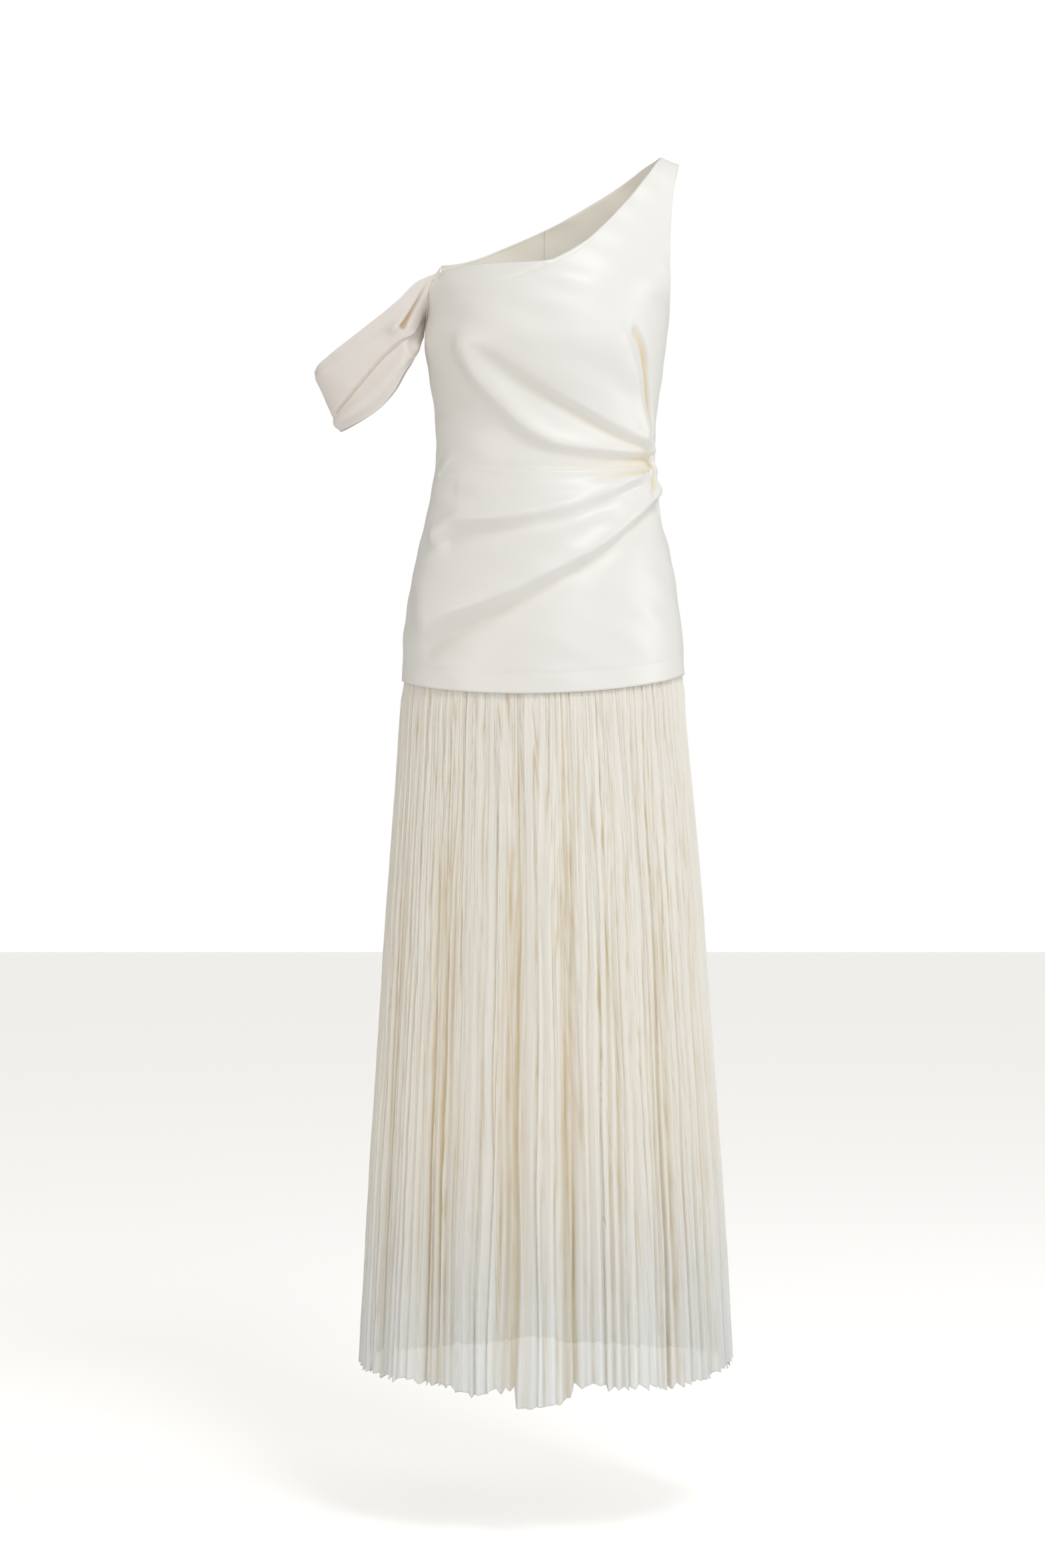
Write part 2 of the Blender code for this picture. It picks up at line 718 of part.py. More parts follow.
def build_skirt():
    chiffon = cloth_material("chiffon", CHIFFON)
    half_gap = SEAM_GAP / 2.0
    forward, rearward = Vector((0.0, -half_gap, 0.0)), Vector((0.0, half_gap, 0.0))
    leftward, rightward = Vector((half_gap, 0.0, 0.0)), Vector((-half_gap, 0.0, 0.0))
    skirt_panel("skirt_front_right", -90.0, FRONT_SEAM_ANGLE, (forward, rightward), chiffon)
    skirt_panel("skirt_front_left", FRONT_SEAM_ANGLE, 90.0, (leftward, forward), chiffon)
    skirt_panel("skirt_back_left", 90.0, 180.0, (rearward, leftward), chiffon)
    skirt_panel("skirt_back_right", -180.0, -90.0, (rightward, rearward), chiffon)


def build_lining():
    lining = cloth_material("lining", LINING_CLOTH)
    for name, side in (("lining_front", "front"), ("lining_back", "back")):
        lining_panel(name, side, lining)


def main():
    clear_scene()
    build_bodice()
    build_sleeve(cloth_material("sleeve cloth", SLEEVE_CLOTH))
    build_skirt()
    build_lining()


main()
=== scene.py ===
"""The finish of the one-shoulder dress: its cloth, folds, seams and a plain studio.

Tables and named sizes are in millimetres. Across is measured from the dress's own centre line, and
height from the top of the shoulder strap, so it is negative below it. The dress faces -Y.
"""

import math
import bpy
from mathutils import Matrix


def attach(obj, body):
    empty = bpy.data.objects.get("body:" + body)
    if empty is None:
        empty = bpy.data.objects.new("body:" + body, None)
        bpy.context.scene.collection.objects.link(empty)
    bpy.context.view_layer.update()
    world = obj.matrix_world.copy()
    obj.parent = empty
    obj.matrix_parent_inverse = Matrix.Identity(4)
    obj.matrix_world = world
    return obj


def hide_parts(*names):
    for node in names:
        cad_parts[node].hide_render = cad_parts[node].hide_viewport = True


bl_info = {
    "name": "One-shoulder dress",
    "version": (1, 0, 0),
    "blender": (4, 5, 0),
    "location": "3D View > Sidebar > Dress",
    "description": "Builds a draped one-shoulder dress around its packed panels",
    "category": "Add Mesh",
}

from collections import namedtuple

import bmesh
import bpy
import numpy as np
from bpy.props import FloatProperty, FloatVectorProperty, IntProperty, PointerProperty
from mathutils import Vector

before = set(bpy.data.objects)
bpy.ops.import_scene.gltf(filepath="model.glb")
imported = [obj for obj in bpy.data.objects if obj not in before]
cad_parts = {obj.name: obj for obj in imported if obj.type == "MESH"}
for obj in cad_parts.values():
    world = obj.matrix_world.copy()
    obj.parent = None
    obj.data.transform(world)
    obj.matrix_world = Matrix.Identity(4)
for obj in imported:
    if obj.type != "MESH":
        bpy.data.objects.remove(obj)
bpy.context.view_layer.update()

MM = 0.001

# Driving sizes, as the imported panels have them
WALL = 1.6
CENTRE_LINE = -151.4
STRAP_MIDDLE = 151.4
STRAP_LEAN = 0.44
LEAN_REACH = 60.0
SEAM_GAP = 0.3
WAIST_SEAM = -619.0
WAIST_SEAM_TILT = 4.0
WAIST_SEAM_DIP = {"front": 23.0, "back": 12.0}
LINING_HEM = -1344.0
LEVEL_START = -200.0
FRONT_SEAM_ANGLE = -6.0

# The figure that the dress is cut for, from the shoulder down to the skirt's hem
Section = namedtuple("Section", "height left right open front back")
FIGURE = (
    Section(0.0, 120.0, 161.5, 0.830, 0.0, 0.0),
    Section(-1.5, 120.0, 161.2, 0.830, 9.0, 9.0),
    Section(-6.0, 120.0, 160.5, 0.830, 17.0, 18.0),
    Section(-15.0, 120.0, 158.5, 0.835, 28.0, 32.0),
    Section(-33.0, 121.0, 155.0, 0.845, 46.0, 56.0),
    Section(-60.0, 122.0, 151.6, 0.870, 68.0, 78.0),
    Section(-86.0, 123.0, 150.0, 0.890, 84.0, 90.0),
    Section(-110.0, 124.0, 149.0, 0.900, 97.0, 98.0),
    Section(-138.0, 126.0, 149.0, 0.910, 110.0, 104.0),
    Section(-160.0, 137.0, 149.2, 0.935, 119.0, 107.0),
    Section(-180.0, 140.0, 149.5, 0.985, 123.0, 108.0),
    Section(-190.0, 142.0, 149.4, 1.000, 124.5, 108.5),
    Section(-219.0, 144.0, 146.0, 1.000, 126.0, 108.0),
    Section(-258.0, 138.6, 141.4, 1.000, 118.0, 103.0),
    Section(-309.0, 131.4, 134.2, 1.000, 103.0, 96.0),
    Section(-334.0, 129.8, 132.8, 1.000, 98.0, 93.0),
    Section(-360.0, 130.4, 133.0, 1.000, 96.0, 92.0),
    Section(-386.0, 134.0, 135.5, 1.000, 98.0, 94.0),
    Section(-411.0, 138.6, 137.5, 1.000, 101.0, 98.0),
    Section(-437.0, 144.2, 141.0, 1.000, 105.0, 103.0),
    Section(-462.0, 150.6, 148.6, 1.000, 110.0, 109.0),
    Section(-488.0, 156.2, 154.2, 1.000, 114.0, 115.0),
    Section(-526.0, 163.4, 159.8, 1.000, 118.0, 121.0),
    Section(-578.0, 169.8, 166.2, 1.000, 120.0, 124.5),
    Section(-616.0, 170.6, 167.8, 1.000, 119.5, 124.0),
    Section(-660.0, 173.8, 169.5, 1.000, 120.0, 124.0),
    Section(-750.0, 180.0, 177.6, 1.000, 125.0, 130.0),
    Section(-878.0, 189.6, 188.8, 1.000, 135.0, 140.0),
    Section(-1006.0, 197.6, 197.6, 1.000, 143.0, 148.0),
    Section(-1262.0, 214.4, 216.0, 1.000, 155.0, 160.0),
    Section(-1470.0, 226.0, 228.0, 1.000, 166.0, 170.0),
)

# Edges seen from the front: the two necklines, and the sleeve's rims from the armhole outwards
Edge = namedtuple("Edge", "across height")
NECKLINE = {
    "front": (
        Edge(-126.0, -141.6),
        Edge(-90.0, -138.6),
        Edge(-36.0, -138.6),
        Edge(-5.0, -138.4),
        Edge(23.3, -127.1),
        Edge(50.0, -108.4),
        Edge(68.3, -90.1),
        Edge(90.7, -64.0),
        Edge(113.6, -34.0),
        Edge(137.1, 1.0),
        Edge(165.0, 50.0),
    ),
    "back": (
        Edge(-126.0, -118.0),
        Edge(-98.0, -109.7),
        Edge(-37.0, -83.9),
        Edge(12.8, -62.5),
        Edge(53.4, -42.1),
        Edge(89.5, -22.5),
        Edge(119.5, -3.9),
        Edge(141.4, 8.0),
        Edge(165.0, 50.0),
    ),
}
SLEEVE_TOP = (
    Edge(-150.4, -151.7),
    Edge(-174.1, -174.0),
    Edge(-201.1, -195.5),
    Edge(-229.9, -216.6),
    Edge(-258.4, -237.0),
    Edge(-271.5, -247.0),
    Edge(-277.0, -255.0),
)
SLEEVE_BOTTOM = (
    Edge(-153.3, -238.0),
    Edge(-167.8, -262.0),
    Edge(-180.5, -284.0),
    Edge(-202.1, -305.5),
    Edge(-220.7, -315.8),
    Edge(-236.0, -322.0),
    Edge(-245.6, -325.0),
)
SLEEVE_DEPTH = 50.0
SLEEVE_DEPTH_REACH = 0.35
SLEEVE_LOWEST_JOIN = {"front": -212.0, "back": -197.0}
SLEEVE_BACK_LIFT = 15.0
SLEEVE_LEAST_DEPTH = 7.0
SLEEVE_CLEARANCE = 0.6
SLEEVE_RIM_ROLL = 1.2
SLEEVE_RIM_SHARE = 0.12

# Folds given one by one: a path seen from the front as (across, height) pairs, the relief on it (out
# is positive), how wide it is on the left and the right of the way it runs, how strong it is at its
# start and its end, how much it widens towards its end, and how much painted shade, a warmer, darker
# colour, it puts where the cloth sinks in.
Fold = namedtuple(
    "Fold", "name path relief left right start end spread warm", defaults=(0.0, 0.15)
)
FRONT_FOLDS = (
    Fold("bust hollow", ((130, -352), (126, -322), (121, -278), (118, -251), (111, -229),
         (105, -221)), -11.0, 3.4, 5.0, 1.0, 0.5, 0.8, 0.75),
    Fold("bust ridge", ((116, -330), (110, -295), (104, -265), (96, -243), (88, -230)),
         7.0, 16.0, 6.0, 0.7, 0.6, 0.8),
    Fold("bust underside", ((122, -342), (103, -334), (51, -308), (-8, -276), (-54, -244),
         (-82, -226)), 12.0, 5.5, 26.0, 0.6, 0.12, 1.2),
    Fold("main hollow", ((122, -352), (103, -347), (51, -322), (-8, -290), (-54, -259),
         (-90, -234)), -10.0, 9.0, 5.5, 0.6, 0.3, 1.0, 0.45),
    Fold("main ridge", ((124, -354), (85, -354), (22, -349), (-18, -330), (-54, -297), (-82, -262),
         (-94, -238)), 11.0, 6.5, 9.0, 0.3, 0.9, 1.2),
    Fold("short lap", ((130, -353), (100, -356), (69, -356), (40, -354), (10, -348), (-20, -335)),
         4.5, 2.4, 8.0, 0.8, 0.2, 1.2),
    Fold("short hollow", ((130, -359), (95, -363), (50, -363), (0, -358), (-45, -332)),
         -4.0, 5.0, 3.0, 1.0, 0.2, 1.0, 0.45),
    Fold("waist crease", ((131, -369), (117, -373), (85, -376), (40, -378), (1, -378),
         (-60, -380), (-124, -380)), -7.0, 1.5, 11.0, 1.0, 0.35, 0.0, 0.45),
    Fold("under the waist", ((110, -384), (70, -392), (20, -398), (-40, -400), (-100, -398)),
         3.5, 10.0, 8.0, 0.6, 0.5),
    Fold("waist lift", ((-126, -378), (-119, -370), (-111, -360), (-103, -348)),
         3.0, 4.0, 4.0, 1.0, 0.0, 0.5),
    Fold("waist lift hollow", ((-129, -366), (-123, -358), (-116, -346)), -2.5, 4.0, 4.0, 1.0,
         0.0, 0.5, 0.5),
    Fold("hip hollow upper", ((124, -375), (106, -380), (75, -385), (40, -390), (0, -396)),
         -6.0, 3.2, 1.6, 0.8, 0.1, 2.2, 1.0),
    Fold("hip band", ((122, -373), (108, -383), (62, -409), (4, -428), (-54, -437), (-100, -440),
         (-126, -456)), 16.0, 5.0, 10.0, 0.3, 0.7, 0.9),
    Fold("band glint", ((-20, -430), (-56, -432), (-80, -430), (-96, -426)),
         3.2, 13.0, 4.5, 0.3, 0.8, 0.3),
    Fold("hip hollow", ((125, -390), (104, -402), (62, -426), (4, -446), (-54, -455),
         (-110, -464)), -5.5, 10.0, 5.0, 0.6, 0.8, 0.8, 0.2),
    Fold("hip swell", ((132, -402), (100, -438), (64, -469), (5, -501), (-53, -529), (-92, -544),
         (-128, -558)), 18.0, 4.6, 24.0, 0.45, 1.1, 1.3),
    Fold("lower edge", ((136, -414), (99, -449), (64, -480), (5, -515), (-53, -546), (-95, -565),
         (-134, -584)), -5.0, 13.0, 5.0, 0.9, 1.0, 0.8, 0.35),
    # Painted shade: the knot's slit is tinted golden and darker as well as sunk in
    Fold("knot slit", ((132, -371), (130, -381), (128, -391), (123, -404)), -8.0, 3.6, 4.6,
         1.0, 0.5, 0.0, 0.9),
    Fold("tuck lap", ((0, -140), (-30, -152), (-58, -165), (-86, -177)), 1.3, 0.9, 10.0, 1.0, 0.0),
    Fold("tuck hollow", ((0, -142), (-30, -154), (-58, -167), (-88, -179)), -1.2, 3.0, 0.9,
         1.0, 0.0),
    # Painted reflection: a warm golden band along the bodice's edge beside the armhole, with only a
    # slight relief
    Fold("side glow", ((-136, -130), (-140, -180), (-139, -240), (-134, -320)), -0.5, 24.0, 24.0,
         1.0, 0.4, 0.0, 6.0),
    Fold("underarm pull", ((-140, -214), (-112, -232), (-70, -255), (-20, -270)),
         2.5, 16.0, 12.0, 1.0, 0.0, 0.6),
    Fold("rib pull", ((-132, -330), (-100, -318), (-60, -298), (-20, -270)),
         2.0, 14.0, 12.0, 1.0, 0.0, 0.6),
)
BACK_FOLDS = (
    Fold("blade lap", ((131, -343), (104, -330), (66, -308), (24, -276), (-10, -240)),
         5.0, 5.0, 14.0, 1.0, 0.2),
    Fold("blade hollow", ((130, -347), (100, -338), (62, -320), (18, -290), (-16, -256)),
         -6.0, 10.0, 5.0, 1.0, 0.2),
    Fold("waist crease", ((130, -368), (100, -375), (50, -379), (0, -379), (-60, -378),
         (-124, -375)), -5.0, 6.0, 4.0, 1.0, 0.6),
    Fold("seat band", ((134, -366), (104, -386), (66, -404), (20, -420), (-40, -436),
         (-110, -444)), 6.0, 11.0, 9.0, 1.0, 0.4),
    Fold("seat hollow", ((136, -396), (100, -420), (60, -444), (10, -466), (-60, -486),
         (-120, -494)), -4.5, 13.0, 9.0, 1.0, 0.4),
    Fold("lower lap", ((141, -410), (112, -436), (78, -464), (40, -492), (-10, -520),
         (-70, -542)), 4.0, 3.0, 13.0, 1.0, 0.1),
)
SLEEVE_FOLDS = (
    # Painted shade: the sleeve's slit is tinted golden and darker as well as sunk in
    Fold("slit", ((-139, -152), (-147, -168), (-155, -182), (-163, -196), (-169, -205)),
         -8.0, 2.2, 1.6, 0.3, 1.0, 0.9, 1.0),
    Fold("slit lip", ((-144, -156), (-152, -172), (-161, -188), (-170, -202), (-178, -209)),
         4.0, 3.0, 5.0, 0.4, 1.0, 0.8),
    Fold("upper ridge", ((-176, -208), (-200, -222), (-230, -238), (-266, -258)),
         4.5, 17.0, 7.0, 1.0, 0.7),
    Fold("lap", ((-143, -184), (-150, -203), (-161, -214), (-173, -223), (-192, -240),
         (-217, -267), (-249, -301)), 2.2, 1.2, 11.0, 0.4, 0.9),
    Fold("lap hollow", ((-144, -187), (-151, -206), (-162, -217), (-174, -226), (-193, -242),
         (-218, -269), (-250, -303)), -4.5, 8.0, 1.2, 0.6, 0.7, 0.0, 0.1),
    # Painted shade: a thin warm dark line along the lap's crease, with only a slight relief
    Fold("lap line", ((-152, -207), (-162, -218), (-174, -227), (-193, -243), (-218, -270),
         (-250, -304)), -1.4, 1.6, 0.9, 0.5, 1.0, 0.0, 2.6),
    # Painted shade: a warm brown tint on the sleeve where it meets the bodice, with only a slight
    # relief
    Fold("join glow", ((-140, -186), (-145, -212), (-152, -238)), -0.6, 6.0, 6.0, 1.0, 1.0,
         0.0, 4.0),
    Fold("lower lobe", ((-152, -228), (-172, -252), (-200, -282), (-228, -303), (-246, -314)),
         6.0, 13.0, 9.0, 0.6, 1.0),
    Fold("curl", ((-156, -212), (-163, -219), (-167, -229), (-164, -239), (-158, -244)),
         3.5, 3.5, 3.0, 1.0, 0.6),
    Fold("curl hollow", ((-152, -216), (-157, -224), (-158, -234), (-154, -240)),
         -2.0, 3.0, 3.5, 1.0, 0.6, 0.0, 0.4),
)
SLEEVE_BACK_FOLDS = (
    Fold("upper ridge", ((-150, -172), (-176, -196), (-215, -222), (-262, -252)),
         4.0, 9.0, 9.0, 0.6, 0.6),
    Fold("middle lap", ((-146, -186), (-168, -214), (-206, -248), (-249, -288)),
         5.0, 3.0, 11.0, 0.8, 0.8),
    Fold("middle hollow", ((-148, -194), (-170, -222), (-208, -256), (-250, -296)),
         -6.0, 8.0, 3.0, 0.8, 0.8),
)

# Round swellings: the two cups, the gathered cloth beside the waist, and knobs on the sleeve
Swelling = namedtuple("Swelling", "across height relief radius")
FRONT_SWELLINGS = (
    Swelling(66.0, -228.0, 7.0, 52.0),
    Swelling(-66.0, -222.0, 5.0, 44.0),
    Swelling(136.0, -399.0, 2.5, 9.0),
)
SLEEVE_SWELLINGS = (Swelling(-175.0, -207.0, 1.6, 7.0),)

# Small gathers where the drape is caught into the side seam
GATHERS = 6
GATHER_TOP = -340.0
GATHER_STEP = 11.0
GATHER_REACH = 40.0

# The skirt's big folds, its gathers and its hem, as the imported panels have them
Flute = namedtuple("Flute", "angle width recess")
FLUTES = (
    Flute(-64.0, 7.0, 8.0),
    Flute(-38.5, 6.0, 13.0),
    Flute(-10.5, 4.0, 15.0),
    Flute(7.5, 4.0, 15.0),
    Flute(23.0, 5.0, 6.0),
    Flute(43.0, 7.0, 9.0),
    Flute(66.0, 6.0, 8.0),
    Flute(112.0, 7.0, 10.0),
    Flute(139.0, 6.0, 13.0),
    Flute(168.0, 6.0, 12.0),
    Flute(-158.0, 7.0, 13.0),
    Flute(-127.0, 6.0, 11.0),
)
PLEAT_PITCH = 3.0
PLEAT_DEPTH = {"top": 3.6, "hem": 5.2}
Hem = namedtuple("Hem", "angle height")
SKIRT_HEM = (
    Hem(-180.0, -1440.0),
    Hem(-140.0, -1444.0),
    Hem(-115.0, -1436.0),
    Hem(-90.0, -1432.0),
    Hem(-62.0, -1441.0),
    Hem(-45.0, -1437.0),
    Hem(-35.0, -1442.0),
    Hem(-21.0, -1447.0),
    Hem(-12.0, -1443.0),
    Hem(-9.8, -1440.0),
    Hem(-9.0, -1464.5),
    Hem(-4.0, -1463.0),
    Hem(2.0, -1457.0),
    Hem(7.6, -1450.0),
    Hem(8.6, -1435.0),
    Hem(22.0, -1440.0),
    Hem(45.0, -1445.0),
    Hem(65.0, -1441.0),
    Hem(90.0, -1430.0),
    Hem(120.0, -1438.0),
    Hem(150.0, -1445.0),
    Hem(180.0, -1440.0),
)
Inset = namedtuple("Inset", "height inset")
LINING_INSET = (Inset(LINING_HEM, 25.0), Inset(-900.0, 15.0), Inset(-660.0, 6.4), Inset(-600.0, 5.7))

# The cut of each sheet of cloth: its flat width and length, and the area of its outline, in metres
Cut = namedtuple("Cut", "width length area held rests_on")


class BodiceSizes(bpy.types.PropertyGroup):
    """Sizes of the draped bodice"""

    wall: FloatProperty(
        name="Cloth", description="Thickness of the satin", default=0.0009, unit="LENGTH"
    )
    drape: FloatProperty(
        name="Drape", description="Strength of the hand-laid folds", default=1.0, subtype="FACTOR"
    )
    columns: IntProperty(name="Columns", description="Columns of the front", default=200)
    rows: IntProperty(name="Rows", description="Rows of the front", default=238)
    hem_band: FloatProperty(
        name="Hem band", description="Height of the turned hem", default=0.023, unit="LENGTH"
    )


class SleeveSizes(bpy.types.PropertyGroup):
    """Sizes of the off-shoulder sleeve"""

    wall: FloatProperty(
        name="Cloth", description="Thickness of the sleeve's cloth", default=0.0009, unit="LENGTH"
    )
    columns: IntProperty(name="Columns", description="Columns round the band", default=220)
    rows: IntProperty(name="Rows", description="Rows across the band", default=84)


class SkirtSizes(bpy.types.PropertyGroup):
    """Sizes of the gathered skirt and its lining"""

    wall: FloatProperty(
        name="Cloth", description="Thickness of the sheer cloth", default=0.0005, unit="LENGTH"
    )
    pleat_top: FloatProperty(
        name="Pleats at the waist", description="Depth of a pleat at the seam", default=0.0009,
        unit="LENGTH",
    )
    pleat_hem: FloatProperty(
        name="Pleats at the hem", description="Depth of a pleat at the hem", default=0.0085,
        unit="LENGTH",
    )
    crinkle_pitch: FloatProperty(
        name="Crinkle pitch", description="Degrees round the skirt to one crinkle", default=1.60
    )
    crinkle_depth: FloatProperty(
        name="Crinkle depth", description="Depth of the fine crinkles", default=0.0047,
        unit="LENGTH",
    )
    columns_per_degree: FloatProperty(
        name="Columns a degree", description="Fineness round the skirt", default=6.6
    )
    rows: IntProperty(name="Rows", description="Rows down the skirt", default=92)
    hem_roll: FloatProperty(
        name="Hem roll", description="Thickness of the rolled hem", default=0.0013, unit="LENGTH"
    )


class ClothColours(bpy.types.PropertyGroup):
    """Colours of the cloths"""

    satin: FloatVectorProperty(
        name="Satin", description="Colour of the bodice", subtype="COLOR", size=3,
        default=(0.885, 0.878, 0.85),
    )
    # Painted shade: the warmer, darker colour mixed into the satin down in its folds
    satin_fold_shade: FloatVectorProperty(
        name="Satin in folds", description="Colour in deep folds", subtype="COLOR", size=3,
        default=(0.86, 0.72, 0.47),
    )
    # Painted light: the inner side is paler and warmer than the satin's face, to lighten it where it
    # lies in shade inside the dress
    inside: FloatVectorProperty(
        name="Inside", description="Colour of the bodice's inner side", subtype="COLOR", size=3,
        default=(0.97, 0.935, 0.86),
    )
    sleeve: FloatVectorProperty(
        name="Sleeve", description="Colour of the sleeve", subtype="COLOR", size=3,
        default=(0.85, 0.80, 0.765),
    )
    # Painted shade: the dark brown mixed into the sleeve down in its creases
    sleeve_fold_shade: FloatVectorProperty(
        name="Sleeve in folds", description="Colour in deep folds", subtype="COLOR", size=3,
        default=(0.66, 0.50, 0.33),
    )
    chiffon: FloatVectorProperty(
        name="Chiffon", description="Colour of the sheer skirt", subtype="COLOR", size=3,
        default=(1.0, 0.955, 0.885),
    )
    # Painted shade: the warmer, darker colour mixed into the chiffon between its crinkles and gathers
    # and in its big folds
    chiffon_fold_shade: FloatVectorProperty(
        name="Chiffon in folds", description="Colour between gathers", subtype="COLOR", size=3,
        default=(0.79, 0.66, 0.45),
    )
    # Painted shade: the greyer colour that the sheer skirt's colour is multiplied by towards its hem
    chiffon_shade_below: FloatVectorProperty(
        name="Chiffon below", description="What the colour is multiplied by at the hem",
        subtype="COLOR", size=3, default=(0.88, 0.93, 1.0),
    )
    lining: FloatVectorProperty(
        name="Lining", description="Colour of the lining", subtype="COLOR", size=3,
        default=(0.88, 0.84, 0.77),
    )


class StageSizes(bpy.types.PropertyGroup):
    """Sizes of the studio"""

    camera_distance: FloatProperty(
        name="Camera distance", description="From the dress to the camera", default=3.6,
        unit="LENGTH",
    )
    camera_across: FloatProperty(
        name="Camera across", description="Where the camera stands", default=-0.1778,
        unit="LENGTH",
    )
    camera_height: FloatProperty(
        name="Camera height", description="Below the shoulder strap", default=-0.7456,
        unit="LENGTH",
    )
    view_height: FloatProperty(
        name="View height", description="Height of the picture at the dress", default=1.8816,
        unit="LENGTH",
    )
    floor_height: FloatProperty(
        name="Floor", description="Height of the floor", default=-1.62, unit="LENGTH"
    )


def smooth(share):
    """0 to 1 with level ends."""
    share = np.clip(share, 0.0, 1.0)
    return share * share * (3.0 - 2.0 * share)


def slopes_of(places, values):
    """Slopes for a smooth curve through the values that never overshoots them."""
    runs = np.diff(values) / np.diff(places)
    inner = [0.0 if a * b <= 0.0 else 2.0 * a * b / (a + b) for a, b in zip(runs, runs[1:])]
    return np.array([runs[0], *inner, runs[-1]])


def curved(places, values, wanted):
    """The values at wanted places on the smooth curve through the values."""
    places, values = np.asarray(places, float), np.asarray(values, float)
    slopes = slopes_of(places, values)
    wanted = np.clip(wanted, places[0], places[-1])
    i = np.clip(np.searchsorted(places, wanted, side="right") - 1, 0, len(places) - 2)
    run = places[i + 1] - places[i]
    share = (wanted - places[i]) / run
    rise = values[i + 1] - values[i]
    start_pull = share * (1.0 - share) ** 2 * slopes[i] * run
    end_pull = share * share * (share - 1.0) * slopes[i + 1] * run
    return values[i] + smooth(share) * rise + start_pull + end_pull


def unit(vectors):
    return vectors / np.maximum(np.linalg.norm(vectors, axis=-1, keepdims=True), 1e-9)


class Form:
    """The figure as one smooth surface. A station is a distance down the front's profile from the
    shoulder, so that rows stay even where the strap lies flat over the shoulder."""

    def __init__(self, sections):
        steps = [
            math.hypot(below.height - above.height, below.front - above.front)
            for above, below in zip(sections, sections[1:])
        ]
        self.stations = np.array([0.0, *np.cumsum(steps)])
        self.columns = {
            field: np.array([getattr(section, field) for section in sections])
            for field in Section._fields
        }
        self.fine = np.linspace(0.0, self.stations[-1], 6000)
        self.fine_heights = self.size("height", self.fine)

    def size(self, field, station):
        return curved(self.stations, self.columns[field], station)

    def station_at(self, height):
        return np.interp(-np.asarray(height, float), -self.fine_heights, self.fine)

    def half(self, station, turn):
        return np.where(turn > 0.0, self.size("right", station), self.size("left", station))

    def point(self, station, turn, side, inset=0.0):
        """turn runs from -1 at the wearer's right side to 1 at the left, and side is front or back."""
        share = np.sin(turn * math.pi / 2.0)
        cut = self.size("open", station) * share
        depth = (self.size(side, station) - inset) * np.sqrt(np.clip(1.0 - cut * cut, 0.0, None))
        across = (self.half(station, turn) - inset) * share
        height = self.size("height", station)
        lean = STRAP_LEAN * smooth((height + LEAN_REACH) / LEAN_REACH)
        facing = -1.0 if side == "front" else 1.0
        return np.stack(
            [across, facing * depth, height - lean * (across - STRAP_MIDDLE)], axis=-1
        )

    def outward(self, station, turn, side):
        """The direction that faces out of the dress there."""
        step = 0.5
        above = self.point(np.maximum(station - step, 0.0), turn, side)
        below = self.point(station + step, turn, side)
        before = self.point(station, np.maximum(turn - 0.01, -1.0), side)
        after = self.point(station, np.minimum(turn + 0.01, 1.0), side)
        normal = unit(np.cross(after - before, above - below))
        return -normal if side == "back" else normal


FORM = Form(FIGURE)


def edge_height(edges, across):
    return curved([e.across for e in edges], [e.height for e in edges], across)


def waist_seam_height(turn, side):
    angle = turn * math.pi / 2.0
    dip = WAIST_SEAM_DIP[side] * np.maximum(np.cos(angle), 0.0) ** 1.3
    return WAIST_SEAM + WAIST_SEAM_TILT * np.sin(angle) - dip


def top_station(turn, side):
    """Where a column of the bodice meets the neckline, or the shoulder on the strap."""
    low = np.zeros_like(turn)
    high = np.full_like(turn, float(FORM.station_at(LEVEL_START)))
    for _ in range(40):
        middle = (low + high) / 2.0
        place = FORM.point(middle, turn, side)
        above = place[:, 2] > edge_height(NECKLINE[side], place[:, 0])
        low, high = np.where(above, middle, low), np.where(above, high, middle)
    return np.where(low > 0.01, low, 0.0)


def waver(seed, *axes):
    """A steady wavering number from about -1 to 1, from pairs of (places, wavelength)."""
    draw = np.random.default_rng(seed)
    total = 0.0
    for _ in range(4):
        phase = draw.uniform(0.0, 2.0 * math.pi)
        for places, wavelength in axes:
            phase = phase + places * (2.0 * math.pi / wavelength) * draw.uniform(0.55, 1.6)
        total = total + np.sin(phase)
    return total / 2.4


def uneven(index, kind):
    """A steady but irregular number from 0 to 1 for each gather."""
    value = np.sin(index * 12.9898 + kind * 78.233) * 43758.5453
    return value - np.floor(value)


def smooth_path(path, steps=6):
    """Points on a smooth line through the path's own points."""
    path = np.array(path, float)
    places = np.arange(len(path), dtype=float)
    fine = np.linspace(0.0, len(path) - 1.0, steps * (len(path) - 1) + 1)
    if len(path) < 3:
        return np.stack([np.interp(fine, places, path[:, k]) for k in range(2)], axis=-1)
    return np.stack([curved(places, path[:, k], fine) for k in range(2)], axis=-1)


def laid_flat(points):
    """Places seen from the front, laid flat on the panel, so that widths hold round the side."""
    half = FORM.half(FORM.station_at(points[:, 1]), points[:, 0])
    share = np.clip(points[:, 0] / half, -1.0, 1.0)
    return np.stack([half * np.arcsin(share), points[:, 1]], axis=-1)


